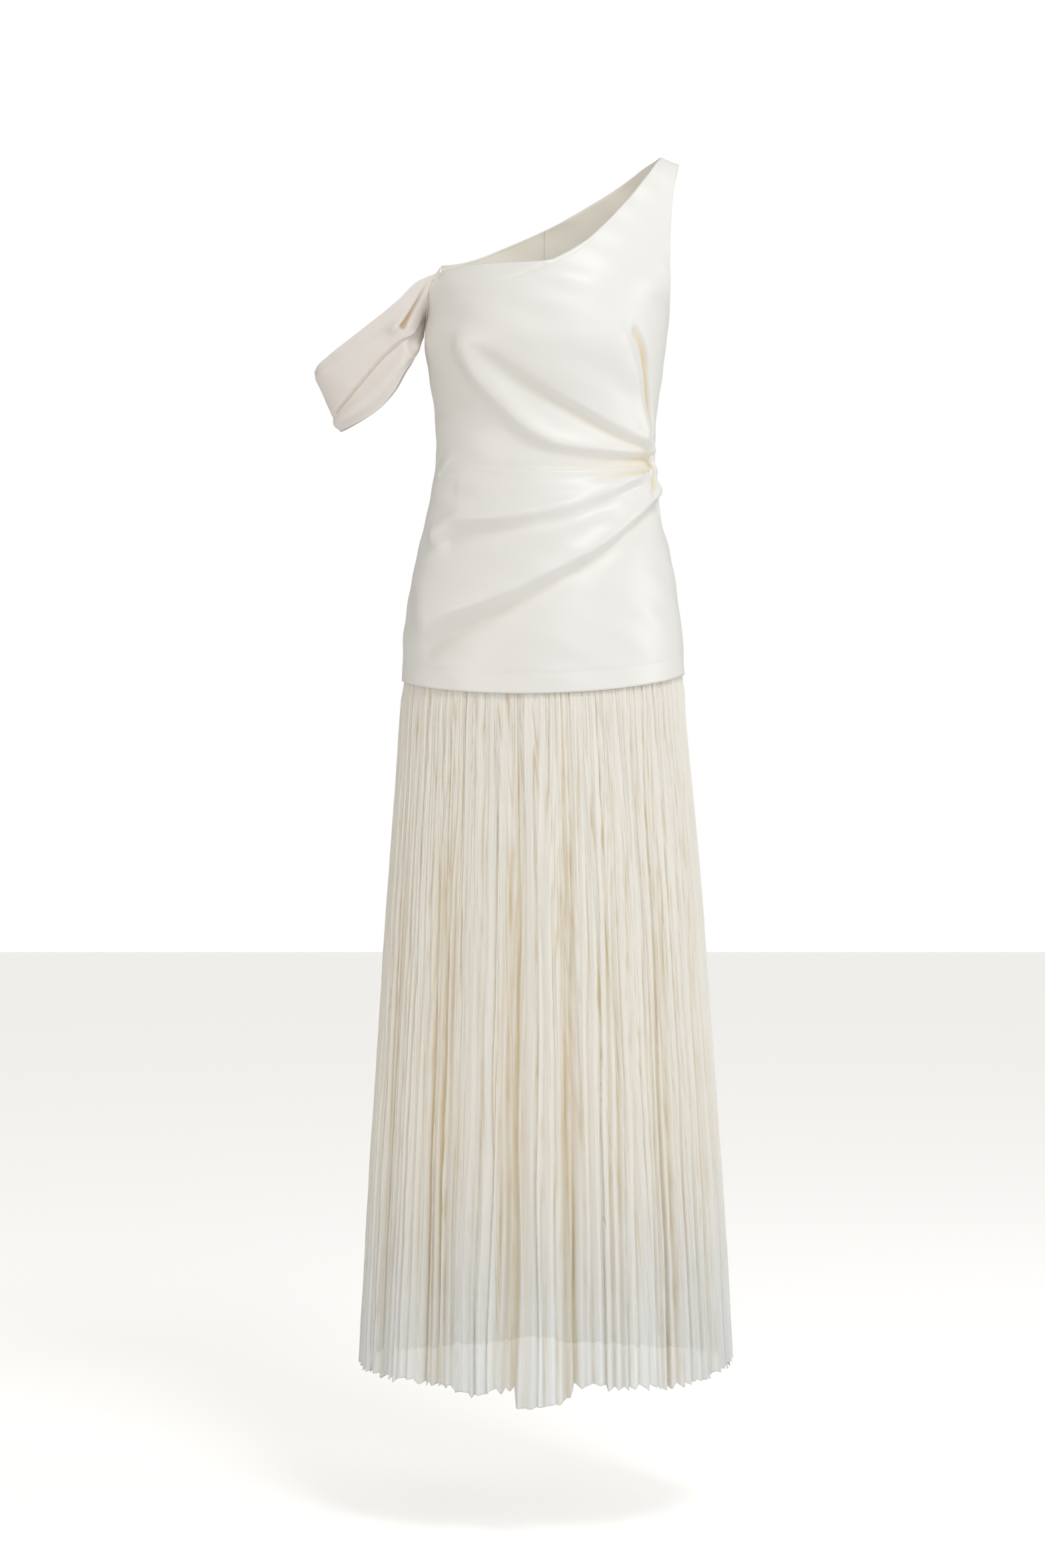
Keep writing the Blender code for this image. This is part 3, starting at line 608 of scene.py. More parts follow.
def relief_of(folds, places, flatten):
    """How far the folds lift the cloth at each place, and how much painted shade, a warmer, darker
    colour, they put on it.
    """
    total, painted_shade = np.zeros(len(places)), np.zeros(len(places))
    for fold in folds:
        line = smooth_path(fold.path)
        if flatten:
            line = laid_flat(line)
        reach = 2.6 * max(fold.left, fold.right) * (1.0 + fold.spread)
        low, high = line.min(0) - reach, line.max(0) + reach
        near = np.flatnonzero(((places > low) & (places < high)).all(1))
        spots = places[near]
        best = np.full(len(near), reach)
        share_at, side_at = np.zeros(len(near)), np.zeros(len(near))
        for i, (start, end) in enumerate(zip(line, line[1:])):
            run = end - start
            share = np.clip((spots - start) @ run / (run @ run), 0.0, 1.0)
            gap = spots - start - share[:, None] * run
            distance = np.hypot(gap[:, 0], gap[:, 1])
            closer = distance < best
            best = np.where(closer, distance, best)
            share_at = np.where(closer, (i + share) / (len(line) - 1), share_at)
            across = (run[0] * gap[:, 1] - run[1] * gap[:, 0]) / np.hypot(*run)
            side_at = np.where(closer, across / np.maximum(distance, 1e-6), side_at)
        width = (fold.left + fold.right + (fold.left - fold.right) * side_at) / 2.0
        width *= 1.0 + fold.spread * share_at
        strength = fold.start + (fold.end - fold.start) * smooth(share_at)
        lift = fold.relief * strength * np.exp(-((best / width) ** 2))
        total[near] += np.where(best < reach, lift, 0.0)
        painted_shade[near] += np.where(best < reach, np.maximum(-lift, 0.0) * fold.warm, 0.0)
    return total, painted_shade


def swelling_relief(swellings, places, flatten):
    total = np.zeros(len(places))
    for swelling in swellings:
        middle = np.array([[swelling.across, swelling.height]])
        if flatten:
            middle = laid_flat(middle)
        distance = np.linalg.norm(places - middle, axis=1)
        total += swelling.relief * np.exp(-((distance / swelling.radius) ** 2))
    return total


def side_gathers():
    """The small gathers that fan out from the side seam beside the waist."""
    folds = []
    for i in range(GATHERS):
        height = GATHER_TOP - i * GATHER_STEP
        fan = (i - (GATHERS - 1) / 2.0) * 5.0
        reach = GATHER_REACH * (0.8 + 0.5 * float(uneven(i, 5)))
        path = ((134, height), (130 - reach / 2.0, height - fan / 2.0), (130 - reach, height - fan))
        folds.append(Fold("gather", path, 1.4 if i % 2 else -1.6, 2.6, 2.6, 1.0, 0.0, 0.6))
    return tuple(folds)


def placed(points):
    """From the dress's own centre line and strap top to the frame, in metres."""
    return (points + np.array([CENTRE_LINE, 0.0, WALL])) * MM


def cloth_grid(name, columns, rows, shape):
    """A grid whose points shape() puts in place from their shares across and down. shape gives the
    points, where each lies on the flat cut, and how much painted shade its colour takes in a fold."""
    mesh_maker = bmesh.new()
    mesh_maker.loops.layers.uv.new("cut")
    bmesh.ops.create_grid(
        mesh_maker, x_segments=columns, y_segments=rows, size=0.5, calc_uvs=True
    )
    data = bpy.data.meshes.new(name)
    mesh_maker.to_mesh(data)
    mesh_maker.free()
    count = len(data.vertices)
    corners = np.empty(count * 3, np.float32)
    data.vertices.foreach_get("co", corners)
    corners = corners.reshape(-1, 3).astype(float)
    points, flat, hollow = shape(corners[:, 0] + 0.5, 0.5 - corners[:, 1])
    data.vertices.foreach_set("co", placed(points).astype(np.float32).ravel())
    # The painted shade's strength at each point, darker and warmer in folds, for the cloth's colour
    fold_shade_mask = data.attributes.new("hollow", "FLOAT", "POINT")
    fold_shade_mask.data.foreach_set("value", np.clip(hollow, 0.0, 1.0).astype(np.float32))
    corner_points = np.empty(len(data.loops), np.int32)
    data.loops.foreach_get("vertex_index", corner_points)
    data.uv_layers[0].uv.foreach_set(
        "vector", (flat[corner_points] * MM).astype(np.float32).ravel()
    )
    data.shade_smooth()
    data.update()
    obj = bpy.data.objects.new(name, data)
    bpy.context.scene.collection.objects.link(obj)
    return obj


def give_wall(obj, thickness, inside=None):
    """The cloth's thickness, inwards from its outer face, and its inner side's own finish."""
    solidify = obj.modifiers.new("Cloth", "SOLIDIFY")
    solidify.thickness = thickness
    solidify.offset = -1.0
    if inside:
        obj.data.materials.append(inside)
        solidify.material_offset = 1


def declare(obj, material):
    """Puts a finished sheet in the frame: gives it its finish, hangs it from the body, and hides the
    solid it stands for.
    """
    node = obj.name.removesuffix("_cloth")
    obj.data.materials.append(material)
    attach(obj, "root")
    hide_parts(node)


def new_node(tree, kind, **values):
    """Adds a node, with its properties and the values of its input sockets."""
    node = tree.nodes.new(kind)
    for name, value in values.items():
        if name in node.inputs:
            node.inputs[name].default_value = value
        else:
            setattr(node, name, value)
    return node


def cloth_material(name, roughness, sheen):
    """A material with a Principled shader, its tree, the shader, and the cut's own coordinates."""
    material = bpy.data.materials.new(name)
    material.use_nodes = True
    tree = material.node_tree
    shader = tree.nodes["Principled BSDF"]
    shader.inputs["Roughness"].default_value = roughness
    shader.inputs["Sheen Weight"].default_value = sheen
    shader.inputs["Sheen Roughness"].default_value = 0.4
    shader.inputs["Sheen Tint"].default_value = (1.0, 0.97, 0.92, 1.0)
    cut = new_node(tree, "ShaderNodeUVMap", uv_map="cut")
    return material, tree, shader, cut


def tinted(tree, shader, colour, fold_shade_colour, fold_shade_from, fold_shade_to, patch_scale):
    """The cloth's colour: faintly patchy, with painted shade that turns it warmer and darker down in
    its folds.
    """
    place = new_node(tree, "ShaderNodeTexCoord")
    patches = new_node(tree, "ShaderNodeTexNoise", Scale=patch_scale, Detail=3.0)
    tree.links.new(place.outputs["Object"], patches.inputs["Vector"])
    paler = new_node(tree, "ShaderNodeMix", data_type="RGBA")
    paler.inputs[6].default_value = (*[c * 0.955 for c in colour], 1.0)
    paler.inputs[7].default_value = (*[min(c * 1.03, 1.0) for c in colour], 1.0)
    tree.links.new(patches.outputs["Fac"], paler.inputs[0])
    # Painted shade: where the hollow mask is set, the colour turns to the warmer, darker fold colour
    hollow = new_node(tree, "ShaderNodeAttribute", attribute_name="hollow")
    depth = new_node(tree, "ShaderNodeMapRange", interpolation_type="SMOOTHSTEP")
    depth.inputs["From Min"].default_value = fold_shade_from
    depth.inputs["From Max"].default_value = fold_shade_to
    tree.links.new(hollow.outputs["Fac"], depth.inputs["Value"])
    shaded_in_folds = new_node(tree, "ShaderNodeMix", data_type="RGBA")
    shaded_in_folds.inputs[7].default_value = (*fold_shade_colour, 1.0)
    tree.links.new(depth.outputs["Result"], shaded_in_folds.inputs[0])
    tree.links.new(paler.outputs[2], shaded_in_folds.inputs[6])
    tree.links.new(shaded_in_folds.outputs[2], shader.inputs["Base Color"])


def weave_height(tree, cut, threads, slubs):
    """The weave as a height: crossed threads, with longer slubs along the cloth's length."""
    heights = []
    for direction in ("X", "Y"):
        wave = new_node(
            tree, "ShaderNodeTexWave", bands_direction=direction, Scale=threads, Distortion=1.2
        )
        wave.inputs["Detail"].default_value = 1.0
        tree.links.new(cut.outputs["UV"], wave.inputs["Vector"])
        heights.append(wave)
    threads_sum = new_node(tree, "ShaderNodeMath", operation="ADD")
    tree.links.new(heights[0].outputs["Fac"], threads_sum.inputs[0])
    tree.links.new(heights[1].outputs["Fac"], threads_sum.inputs[1])
    stretch = new_node(tree, "ShaderNodeMapping", Scale=slubs)
    tree.links.new(cut.outputs["UV"], stretch.inputs["Vector"])
    grain = new_node(tree, "ShaderNodeTexNoise", Scale=1.0, Detail=4.0, Roughness=0.6)
    tree.links.new(stretch.outputs["Vector"], grain.inputs["Vector"])
    return threads_sum, grain


def bumped(tree, shader, heights):
    """Chains bumps from (output socket, strength, distance) rows onto the shader's normal."""
    normal = None
    for socket, strength, distance in heights:
        bump = new_node(tree, "ShaderNodeBump", Strength=strength, Distance=distance)
        tree.links.new(socket, bump.inputs["Height"])
        if normal is not None:
            tree.links.new(normal, bump.inputs["Normal"])
        normal = bump.outputs["Normal"]
    tree.links.new(normal, shader.inputs["Normal"])


def varied_roughness(tree, shader, grain, low, high):
    span = new_node(tree, "ShaderNodeMapRange")
    span.inputs["To Min"].default_value = low
    span.inputs["To Max"].default_value = high
    tree.links.new(grain.outputs["Fac"], span.inputs["Value"])
    tree.links.new(span.outputs["Result"], shader.inputs["Roughness"])


def satin_material(name, colour, fold_shade_colour, roughness):
    """Heavy satin: a close weave with a soft, broad shine."""
    material, tree, shader, cut = cloth_material(name, roughness, 0.12)
    shader.inputs["Specular IOR Level"].default_value = 0.42
    tinted(tree, shader, colour, fold_shade_colour, 0.15, 1.0, 5.0)
    threads, grain = weave_height(tree, cut, 420.0, (900.0, 160.0, 1.0))
    bumped(
        tree, shader, ((threads.outputs[0], 0.05, 0.0001), (grain.outputs["Fac"], 0.10, 0.0003))
    )
    varied_roughness(tree, shader, grain, roughness - 0.05, roughness + 0.07)
    return material


# Heights, in metres, between which painted shade turns the sheer skirt greyer
GREY_FROM = -1.10
GREY_TO = -1.45


def shaded_below(tree, shader, shade_below_colour):
    """Painted shade: multiplies the colour by a greyer colour towards the skirt's hem, where little
    lies behind it.
    """
    place = new_node(tree, "ShaderNodeTexCoord")
    parts = new_node(tree, "ShaderNodeSeparateXYZ")
    tree.links.new(place.outputs["Object"], parts.inputs[0])
    down = new_node(tree, "ShaderNodeMapRange", interpolation_type="SMOOTHSTEP")
    down.inputs["From Min"].default_value = GREY_FROM
    down.inputs["From Max"].default_value = GREY_TO
    tree.links.new(parts.outputs["Z"], down.inputs["Value"])
    shade = new_node(tree, "ShaderNodeMix", data_type="RGBA", blend_type="MULTIPLY")
    shade.inputs[7].default_value = (*shade_below_colour, 1.0)
    tree.links.new(down.outputs["Result"], shade.inputs[0])
    tree.links.new(shader.inputs["Base Color"].links[0].from_socket, shade.inputs[6])
    tree.links.new(shade.outputs[2], shader.inputs["Base Color"])


def chiffon_material(name, colour, fold_shade_colour, shade_below_colour, cover):
    """Sheer crinkled chiffon. cover is how solid one face of it is."""
    material, tree, shader, cut = cloth_material(name, 0.62, 0.25)
    shader.inputs["Alpha"].default_value = cover
    shader.inputs["Specular IOR Level"].default_value = 0.25
    tinted(tree, shader, colour, fold_shade_colour, 0.15, 1.10, 7.0)
    shaded_below(tree, shader, shade_below_colour)
    threads, grain = weave_height(tree, cut, 500.0, (620.0, 14.0, 1.0))
    bumped(
        tree, shader, ((threads.outputs[0], 0.06, 0.0001), (grain.outputs["Fac"], 0.45, 0.0006))
    )
    varied_roughness(tree, shader, grain, 0.55, 0.75)
    return material


def lining_material(name, colour):
    """A smooth matt lining."""
    material, tree, shader, cut = cloth_material(name, 0.5, 0.1)
    # Painted shade: a darker colour in the folds, where the hollow mask is set, as on the bodice's
    # inner side
    tinted(tree, shader, colour, [c * 0.85 for c in colour], 0.2, 1.0, 6.0)
    threads, grain = weave_height(tree, cut, 380.0, (300.0, 60.0, 1.0))
    bumped(
        tree, shader, ((threads.outputs[0], 0.06, 0.0001), (grain.outputs["Fac"], 0.12, 0.0004))
    )
    varied_roughness(tree, shader, grain, 0.45, 0.6)
    return material


def seam_relief(folds, swellings, heights, turn):
    """The relief that a panel has along one of its side seams, by height."""
    half = FORM.half(FORM.station_at(heights), np.full_like(heights, turn))
    places = np.stack([half * turn * math.pi / 2.0, heights], axis=-1)
    return relief_of(folds, places, True)[0] + swelling_relief(swellings, places, True)


def panel_shape(side, start, end, rows_neck, drape, hem_band):
    """The shape of one bodice panel between two turns round the figure, for cloth_grid."""
    folds = (FRONT_FOLDS if side == "front" else BACK_FOLDS) + side_gathers()
    front_folds = FRONT_FOLDS + side_gathers()
    swellings = FRONT_SWELLINGS if side == "front" else ()

    def shape(across, down):
        turn = start + (end - start) * across
        unique, back_to = np.unique(np.round(turn, 6), return_inverse=True)
        top = top_station(unique, side)[back_to]
        level = float(FORM.station_at(LEVEL_START))
        bottom = FORM.station_at(waist_seam_height(turn, side))
        station = np.where(
            down < rows_neck,
            top + (level - top) * down / rows_neck,
            level + (bottom - level) * (down - rows_neck) / (1.0 - rows_neck),
        )
        base = FORM.point(station, turn, side)
        height = base[:, 2]
        flat = np.stack([FORM.half(station, turn) * turn * math.pi / 2.0, height], axis=-1)
        relief, painted_shade = relief_of(folds, flat, True)
        relief += swelling_relief(swellings, flat, True)
        if side == "back":
            seam = seam_relief(front_folds, FRONT_SWELLINGS, height, 1.0)
            near = smooth((turn - 0.86) / 0.14)
            relief = relief * (1.0 - near) + seam * near
        relief *= drape * smooth((height - waist_seam_height(turn, side)) / 24.0)
        relief *= 1.0 - 0.85 * smooth((np.abs(turn) - 0.86) / 0.14)
        soft = 0.35 * waver(11, (flat[:, 0], 80.0), (flat[:, 1], 60.0))
        above_hem = height - waist_seam_height(turn, side)
        band = -0.55 * np.exp(-(((above_hem - hem_band / MM) / 1.1) ** 2))
        band += 0.35 * smooth(1.0 - above_hem / (hem_band / MM))
        from_top = station - top
        edge = -1.0 * np.exp(-((from_top / 1.4) ** 2))
        edge -= 0.25 * np.exp(-(((from_top - 6.5) / 0.9) ** 2))
        seam_roll = -0.5 * np.exp(-(((1.0 - np.abs(turn)) * FORM.half(station, turn) / 1.3) ** 2))
        if side == "back":
            seam_roll -= 0.2 * np.exp(-((turn * FORM.half(station, turn) / 1.3) ** 2))
        normal = FORM.outward(station, turn, side)
        level_normal = unit(normal * np.array([1.0, 0.0, 1.0]))
        on_edge = (np.abs(turn) > 0.999) | (station == 0.0)
        normal = np.where(on_edge[:, None], level_normal, normal)
        facing = -1.0 if side == "front" else 1.0
        gap = np.array([0.0, facing * SEAM_GAP / 2.0, 0.0])
        lift = relief + soft + band + edge + seam_roll
        points = base + gap + normal * lift[:, None]
        # The third value is the painted shade, which darkens and warms the colour in the folds
        return points, flat, painted_shade / 6.0

    return shape


def sleeve_rim(edges, join, out):
    """A rim's points, seen from the front, at shares of the way out from the armhole."""
    run = np.array([(join[0], join[1]), *edges], float)
    places = np.array([0.0, *np.cumsum(np.hypot(*np.diff(run, axis=0).T))])
    return np.stack([curved(places, run[:, k], out * places[-1]) for k in range(2)], axis=-1)


def armhole_edge(height, side):
    """The bodice's upright edge beside the sleeve, at a height."""
    height = np.atleast_1d(np.asarray(height, float))
    return FORM.point(FORM.station_at(height), np.full_like(height, -1.0), side)


def sleeve_points(turn, drop):
    """turn runs 0 to 1 round the band, from the front of the armhole to its back, and drop 0 to 1
    from its upper rim to its lower."""
    angle = turn * math.pi
    out = np.sin(angle)
    points = np.zeros((len(turn), 3))
    for side, mine in (("front", turn <= 0.5), ("back", turn > 0.5)):
        highest = NECKLINE[side][0].height
        lowest = SLEEVE_LOWEST_JOIN[side]
        edge = armhole_edge(highest + (lowest - highest) * drop, side)
        top_edge, low_edge = armhole_edge(highest, side)[0], armhole_edge(lowest, side)[0]
        upper = sleeve_rim(SLEEVE_TOP, (top_edge[0] - SLEEVE_CLEARANCE, highest), out)
        lower = sleeve_rim(SLEEVE_BOTTOM, (low_edge[0] - SLEEVE_CLEARANCE, lowest), out)
        if side == "back":
            lower[:, 1] += SLEEVE_BACK_LIFT * smooth(4.0 * out) * (1.0 - out**4)
        place = upper + (lower - upper) * drop[:, None]
        bow = (edge[:, 0] - SLEEVE_CLEARANCE - place[:, 0]) * (1.0 - out) ** 6
        at_join = np.maximum(np.abs(edge[:, 1]), SLEEVE_LEAST_DEPTH)
        depth = at_join + (SLEEVE_DEPTH - at_join) * smooth(out / SLEEVE_DEPTH_REACH)
        found = np.stack(
            [place[:, 0] + np.minimum(bow, 0.0), -np.cos(angle) * depth, place[:, 1]], axis=-1
        )
        points[mine] = found[mine]
    return points


def sleeve_shape(across, down):
    """The sleeve band's shape for cloth_grid."""
    turn, drop = 1.0 - across, down
    step = 0.004
    base = sleeve_points(turn, drop)
    round_way = sleeve_points(np.minimum(turn + step, 1.0), drop) - sleeve_points(
        np.maximum(turn - step, 0.0), drop
    )
    down_way = sleeve_points(turn, np.minimum(drop + 0.02, 1.0)) - sleeve_points(
        turn, np.maximum(drop - 0.02, 0.0)
    )
    normal = unit(np.cross(round_way, down_way))
    at_end = (turn < 1e-6) | (turn > 1.0 - 1e-6)
    straight_out = np.stack([0.0 * turn, np.where(turn < 0.5, -1.0, 1.0), 0.0 * turn], axis=-1)
    normal = np.where(at_end[:, None], straight_out, normal)
    seen = base[:, [0, 2]]
    front, front_painted_shade = relief_of(SLEEVE_FOLDS, seen, False)
    front += swelling_relief(SLEEVE_SWELLINGS, seen, False)
    back, back_painted_shade = relief_of(SLEEVE_BACK_FOLDS, seen, False)
    share = smooth((turn - 0.44) / 0.12)
    relief = front * (1.0 - share) + back * share
    painted_shade = front_painted_shade * (1.0 - share) + back_painted_shade * share
    rim = 1.0 - smooth(np.minimum(drop, 1.0 - drop) / SLEEVE_RIM_SHARE)
    relief = relief * (1.0 - 0.6 * rim)
    relief = relief * smooth(np.minimum(turn, 1.0 - turn) / 0.05)
    soft = 0.4 * waver(23, (base[:, 0], 60.0), (base[:, 2], 50.0))
    lift = relief + soft - SLEEVE_RIM_ROLL * rim * smooth(np.minimum(turn, 1.0 - turn) / 0.08)
    flat = np.stack([turn * 320.0, -drop * 90.0], axis=-1)
    # The third value is the painted shade, which darkens and warms the sleeve's colour in its folds
    return base + normal * lift[:, None], flat, painted_shade / 6.0


def pleat_places(start, end):
    """The gathers of one panel: the angle of each valley and ridge, and how deep it lies."""
    count = round((end - start) / PLEAT_PITCH)
    index = np.arange(2 * count + 1)
    even = start + (end - start) * index / (2 * count)
    inner = (index > 0) & (index < 2 * count)
    angles = even + np.where(inner, (uneven(even, 1) - 0.5) * 0.72 * PLEAT_PITCH, 0.0)
    depth = np.where(index % 2 == 0, 0.55 + 0.45 * uneven(angles, 3), 0.15 * uneven(angles, 4))
    ragged = np.where(inner, 7.0 * (uneven(angles, 2) - 0.5) - 3.0 * (index % 2), 0.0)
    return angles, depth, ragged


def between(places, values, wanted, crisp):
    """Values between places, turning softly at each, or sharply as crisp rises to 1."""
    i = np.clip(np.searchsorted(places, wanted, side="right") - 1, 0, len(places) - 2)
    share = np.clip((wanted - places[i]) / (places[i + 1] - places[i]), 0.0, 1.0)
    share = smooth(share) * (1.0 - crisp) + share * crisp
    return values[i] + (values[i + 1] - values[i]) * share


def flute_recess(angle, share):
    total = np.zeros_like(angle)
    for flute in FLUTES:
        away = (angle - flute.angle + 180.0) % 360.0 - 180.0
        total += flute.recess * np.exp(-((away / flute.width) ** 2))
    return total * share**1.2


def crinkle(angle, height, pitch):
    """Fine crinkles that run down the cloth, waver, and merge: 0 in a valley, 1 on a ridge."""
    total, most = np.zeros_like(angle), np.zeros_like(angle)
    for seed, stretch, weight in ((31, 1.0, 0.50), (47, 0.66, 0.20), (59, 2.1, 0.45)):
        sway = 1.1 * waver(seed, (angle, 14.0), (height, 700.0))
        sway += 0.40 * waver(seed + 1, (angle, 4.2), (height, 240.0))
        sway += 0.08 * waver(seed + 4, (angle, 2.4), (height, 60.0))
        ridge = np.abs(np.sin(math.pi * (angle / pitch + sway) / stretch)) ** 0.75
        strength = np.clip(0.6 + 0.5 * waver(seed + 2, (angle, 5.5), (height, 700.0)), 0.05, 1.0)
        total += weight * strength * ridge
        most += weight * strength
    return 1.0 - (most - total) / 1.1


def skirt_shape(start, end, sizes):
    """The shape of one gathered panel, for cloth_grid."""
    side = "front" if max(abs(start), abs(end)) <= 90.0 else "back"
    ridge_angles, ridge_depth, ragged = pleat_places(start, end)
    tuck_up, tuck_in, tuck_fade = 5.0, 2.0, 26.0
    calm_edge = 1.4

    def shape(across, down):
        angle = start + (end - start) * across
        turn = angle / 90.0 if side == "front" else np.copysign(180.0 - np.abs(angle), angle) / 90.0
        seam = waist_seam_height(turn, side)
        hem = np.interp(angle, [h.angle for h in SKIRT_HEM], [h.height for h in SKIRT_HEM])
        hem += between(ridge_angles, ragged, angle, 1.0)
        top = seam + tuck_up
        height = top + (hem - top) * down**1.06
        share = np.clip((seam - height) / (seam - hem), 0.0, 1.0)
        station = FORM.station_at(height)
        base = FORM.point(station, turn, side)
        at_seam = smooth(np.minimum(across, 1.0 - across) * (end - start) / calm_edge)
        sway = 0.8 * waver(71, (angle, 33.0), (height, 430.0)) * at_seam * (1.0 - 0.6 * share)
        sway += 0.3 * waver(72, (angle, 9.0), (height, 150.0)) * at_seam * (1.0 - share)
        deep = sizes.pleat_top / MM + (sizes.pleat_hem - sizes.pleat_top) / MM * share**1.2
        valley = between(
            ridge_angles, ridge_depth, np.clip(angle + sway, start, end), 0.9 * smooth(share)
        )
        fine = sizes.crinkle_depth / MM * (1.0 - 0.45 * smooth(share * 1.2))
        creased = (1.0 - crinkle(angle, height, sizes.crinkle_pitch)) * at_seam
        seam_lift = 1.6 * (1.0 - at_seam) * smooth(share * 2.0)
        recess = flute_recess(angle, share) - seam_lift
        tucked = tuck_in * smooth((height - seam + tuck_fade) / tuck_fade)
        inward = deep * valley + fine * creased + recess + tucked
        normal = FORM.outward(station, turn, side)
        normal = unit(normal * np.array([1.0, 1.0, 0.0]))
        points = base - normal * inward[:, None]
        facing = -1.0 if side == "front" else 1.0
        on_side = np.abs(np.abs(angle) - 90.0) < 1e-6
        points[:, 1] += facing * SEAM_GAP / 2.0 * on_side
        flat = np.stack([angle * 4.2, height], axis=-1)
        # Painted shade: the colour darkens and warms between the crinkles and gathers, and down in the
        # big folds
        shade_between_gathers = creased * (1.25 - 0.7 * share) + valley * (0.15 + 0.45 * share)
        shade_in_flutes = flute_recess(angle, np.ones_like(share)) / 15.0
        hollow = shade_between_gathers - 0.10 + shade_in_flutes * (0.16 + 0.30 * smooth(share * 2.5))
        return points, flat, hollow

    return shape


def lining_shape(side):
    """The shape of one half of the lining, for cloth_grid."""

    def shape(across, down):
        turn = across * 2.0 - 1.0 if side == "front" else 1.0 - across * 2.0
        top = waist_seam_height(turn, side) + 4.0
        height = top + (LINING_HEM - top) * down
        inset = np.interp(height, [i.height for i in LINING_INSET], [i.inset for i in LINING_INSET])
        station = FORM.station_at(height)
        base = FORM.point(station, turn, side)
        normal = unit(FORM.outward(station, turn, side) * np.array([1.0, 1.0, 0.0]))
        soft = 1.6 * down * waver(91, (turn * 90.0, 26.0), (height, 900.0))
        hem_line = 0.4 * np.exp(-(((height - LINING_HEM - 18.0) / 1.2) ** 2))
        inward = inset + 0.4 + np.abs(soft) + hem_line
        points = base - normal * inward[:, None]
        facing = -1.0 if side == "front" else 1.0
        points[:, 1] += facing * SEAM_GAP / 2.0 * (np.abs(turn) > 0.999)
        flat = np.stack([turn * 280.0, height], axis=-1)
        return points, flat, np.zeros(len(turn))

    return shape


def rolled_hem(name, panel, count, radius, material):
    """A thin roll of cloth along the lower edge of a panel."""
    curve = bpy.data.curves.new(name, "CURVE")
    curve.dimensions = "3D"
    curve.bevel_depth = radius
    curve.bevel_resolution = 1
    curve.use_fill_caps = True
    spline = curve.splines.new("POLY")
    spline.points.add(count - 1)
    for point, vertex in zip(spline.points, panel.data.vertices[:count]):
        point.co = (*vertex.co, 1.0)
    curve.materials.append(material)
    roll = bpy.data.objects.new(name, curve)
    bpy.context.scene.collection.objects.link(roll)
    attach(roll, "root")


class DRESS_OT_bodice(bpy.types.Operator):
    """Build the draped front and the two back panels of the bodice"""

    bl_idname = "dress.bodice"
    bl_label = "Bodice"

    def execute(self, context):
        sizes, colours = context.scene.dress_bodice, context.scene.dress_colours
        satin = satin_material("ivory satin", colours.satin, colours.satin_fold_shade, 0.36)
        # The inner side's finish has painted light, a paler colour than the face, and painted shade in
        # its folds
        inside = lining_material("satin's inner side", colours.inside)
        rows_neck = 0.27
        panels = (
            ("bodice_front", "front", -1.0, 1.0, sizes.columns, sizes.rows),
            ("bodice_back_left", "back", 1.0, 0.0, sizes.columns // 2, sizes.rows * 3 // 4),
            ("bodice_back_right", "back", 0.0, -1.0, sizes.columns // 2, sizes.rows * 3 // 4),
        )
        for name, side, start, end, columns, rows in panels:
            shape = panel_shape(side, start, end, rows_neck, sizes.drape, sizes.hem_band)
            panel = cloth_grid(name + "_cloth", columns, rows, shape)
            declare(panel, satin)
            give_wall(panel, sizes.wall, inside)
        return {"FINISHED"}


class DRESS_OT_sleeve(bpy.types.Operator):
    """Build the draped off-shoulder sleeve"""

    bl_idname = "dress.sleeve"
    bl_label = "Sleeve"

    def execute(self, context):
        sizes, colours = context.scene.dress_sleeve, context.scene.dress_colours
        cloth = satin_material("sleeve cloth", colours.sleeve, colours.sleeve_fold_shade, 0.55)
        sleeve = cloth_grid("sleeve_cloth", sizes.columns, sizes.rows, sleeve_shape)
        give_wall(sleeve, sizes.wall)
        declare(sleeve, cloth)
        return {"FINISHED"}


class DRESS_OT_skirt(bpy.types.Operator):
    """Build the four gathered panels of the sheer skirt"""

    bl_idname = "dress.skirt"
    bl_label = "Skirt"

    def execute(self, context):
        sizes, colours = context.scene.dress_skirt, context.scene.dress_colours
        chiffon = chiffon_material(
            "chiffon", colours.chiffon, colours.chiffon_fold_shade, colours.chiffon_shade_below, 0.88
        )
        panels = (
            ("skirt_front_right", -90.0, FRONT_SEAM_ANGLE),
            ("skirt_front_left", FRONT_SEAM_ANGLE, 90.0),
            ("skirt_back_left", 90.0, 180.0),
            ("skirt_back_right", -180.0, -90.0),
        )
        for name, start, end in panels:
            columns = round((end - start) * sizes.columns_per_degree)
            shape = skirt_shape(start, end, sizes)
            panel = cloth_grid(name + "_cloth", columns, sizes.rows, shape)
            declare(panel, chiffon)
            rolled_hem(name + "_hem", panel, columns + 1, sizes.hem_roll / 2.0, chiffon)
        return {"FINISHED"}


class DRESS_OT_lining(bpy.types.Operator):
    """Build the skirt's lining"""

    bl_idname = "dress.lining"
    bl_label = "Lining"

    def execute(self, context):
        sizes, colours = context.scene.dress_skirt, context.scene.dress_colours
        lining = lining_material("lining", colours.lining)
        for side in ("front", "back"):
            panel = cloth_grid(f"lining_{side}_cloth", 90, 60, lining_shape(side))
            give_wall(panel, sizes.wall)
            declare(panel, lining)
        return {"FINISHED"}


COOL = (0.97, 0.985, 1.0)
WARM = (1.0, 0.96, 0.89)


def area_light(name, place, target, size, energy, colour):
    data = bpy.data.lights.new(name, "AREA")
    data.shape = "SQUARE"
    data.size = size
    data.energy = energy
    data.color = colour
    light = bpy.data.objects.new(name, data)
    light.location = place
    light.rotation_euler = (Vector(target) - Vector(place)).to_track_quat("-Z", "Y").to_euler()
    bpy.context.scene.collection.objects.link(light)


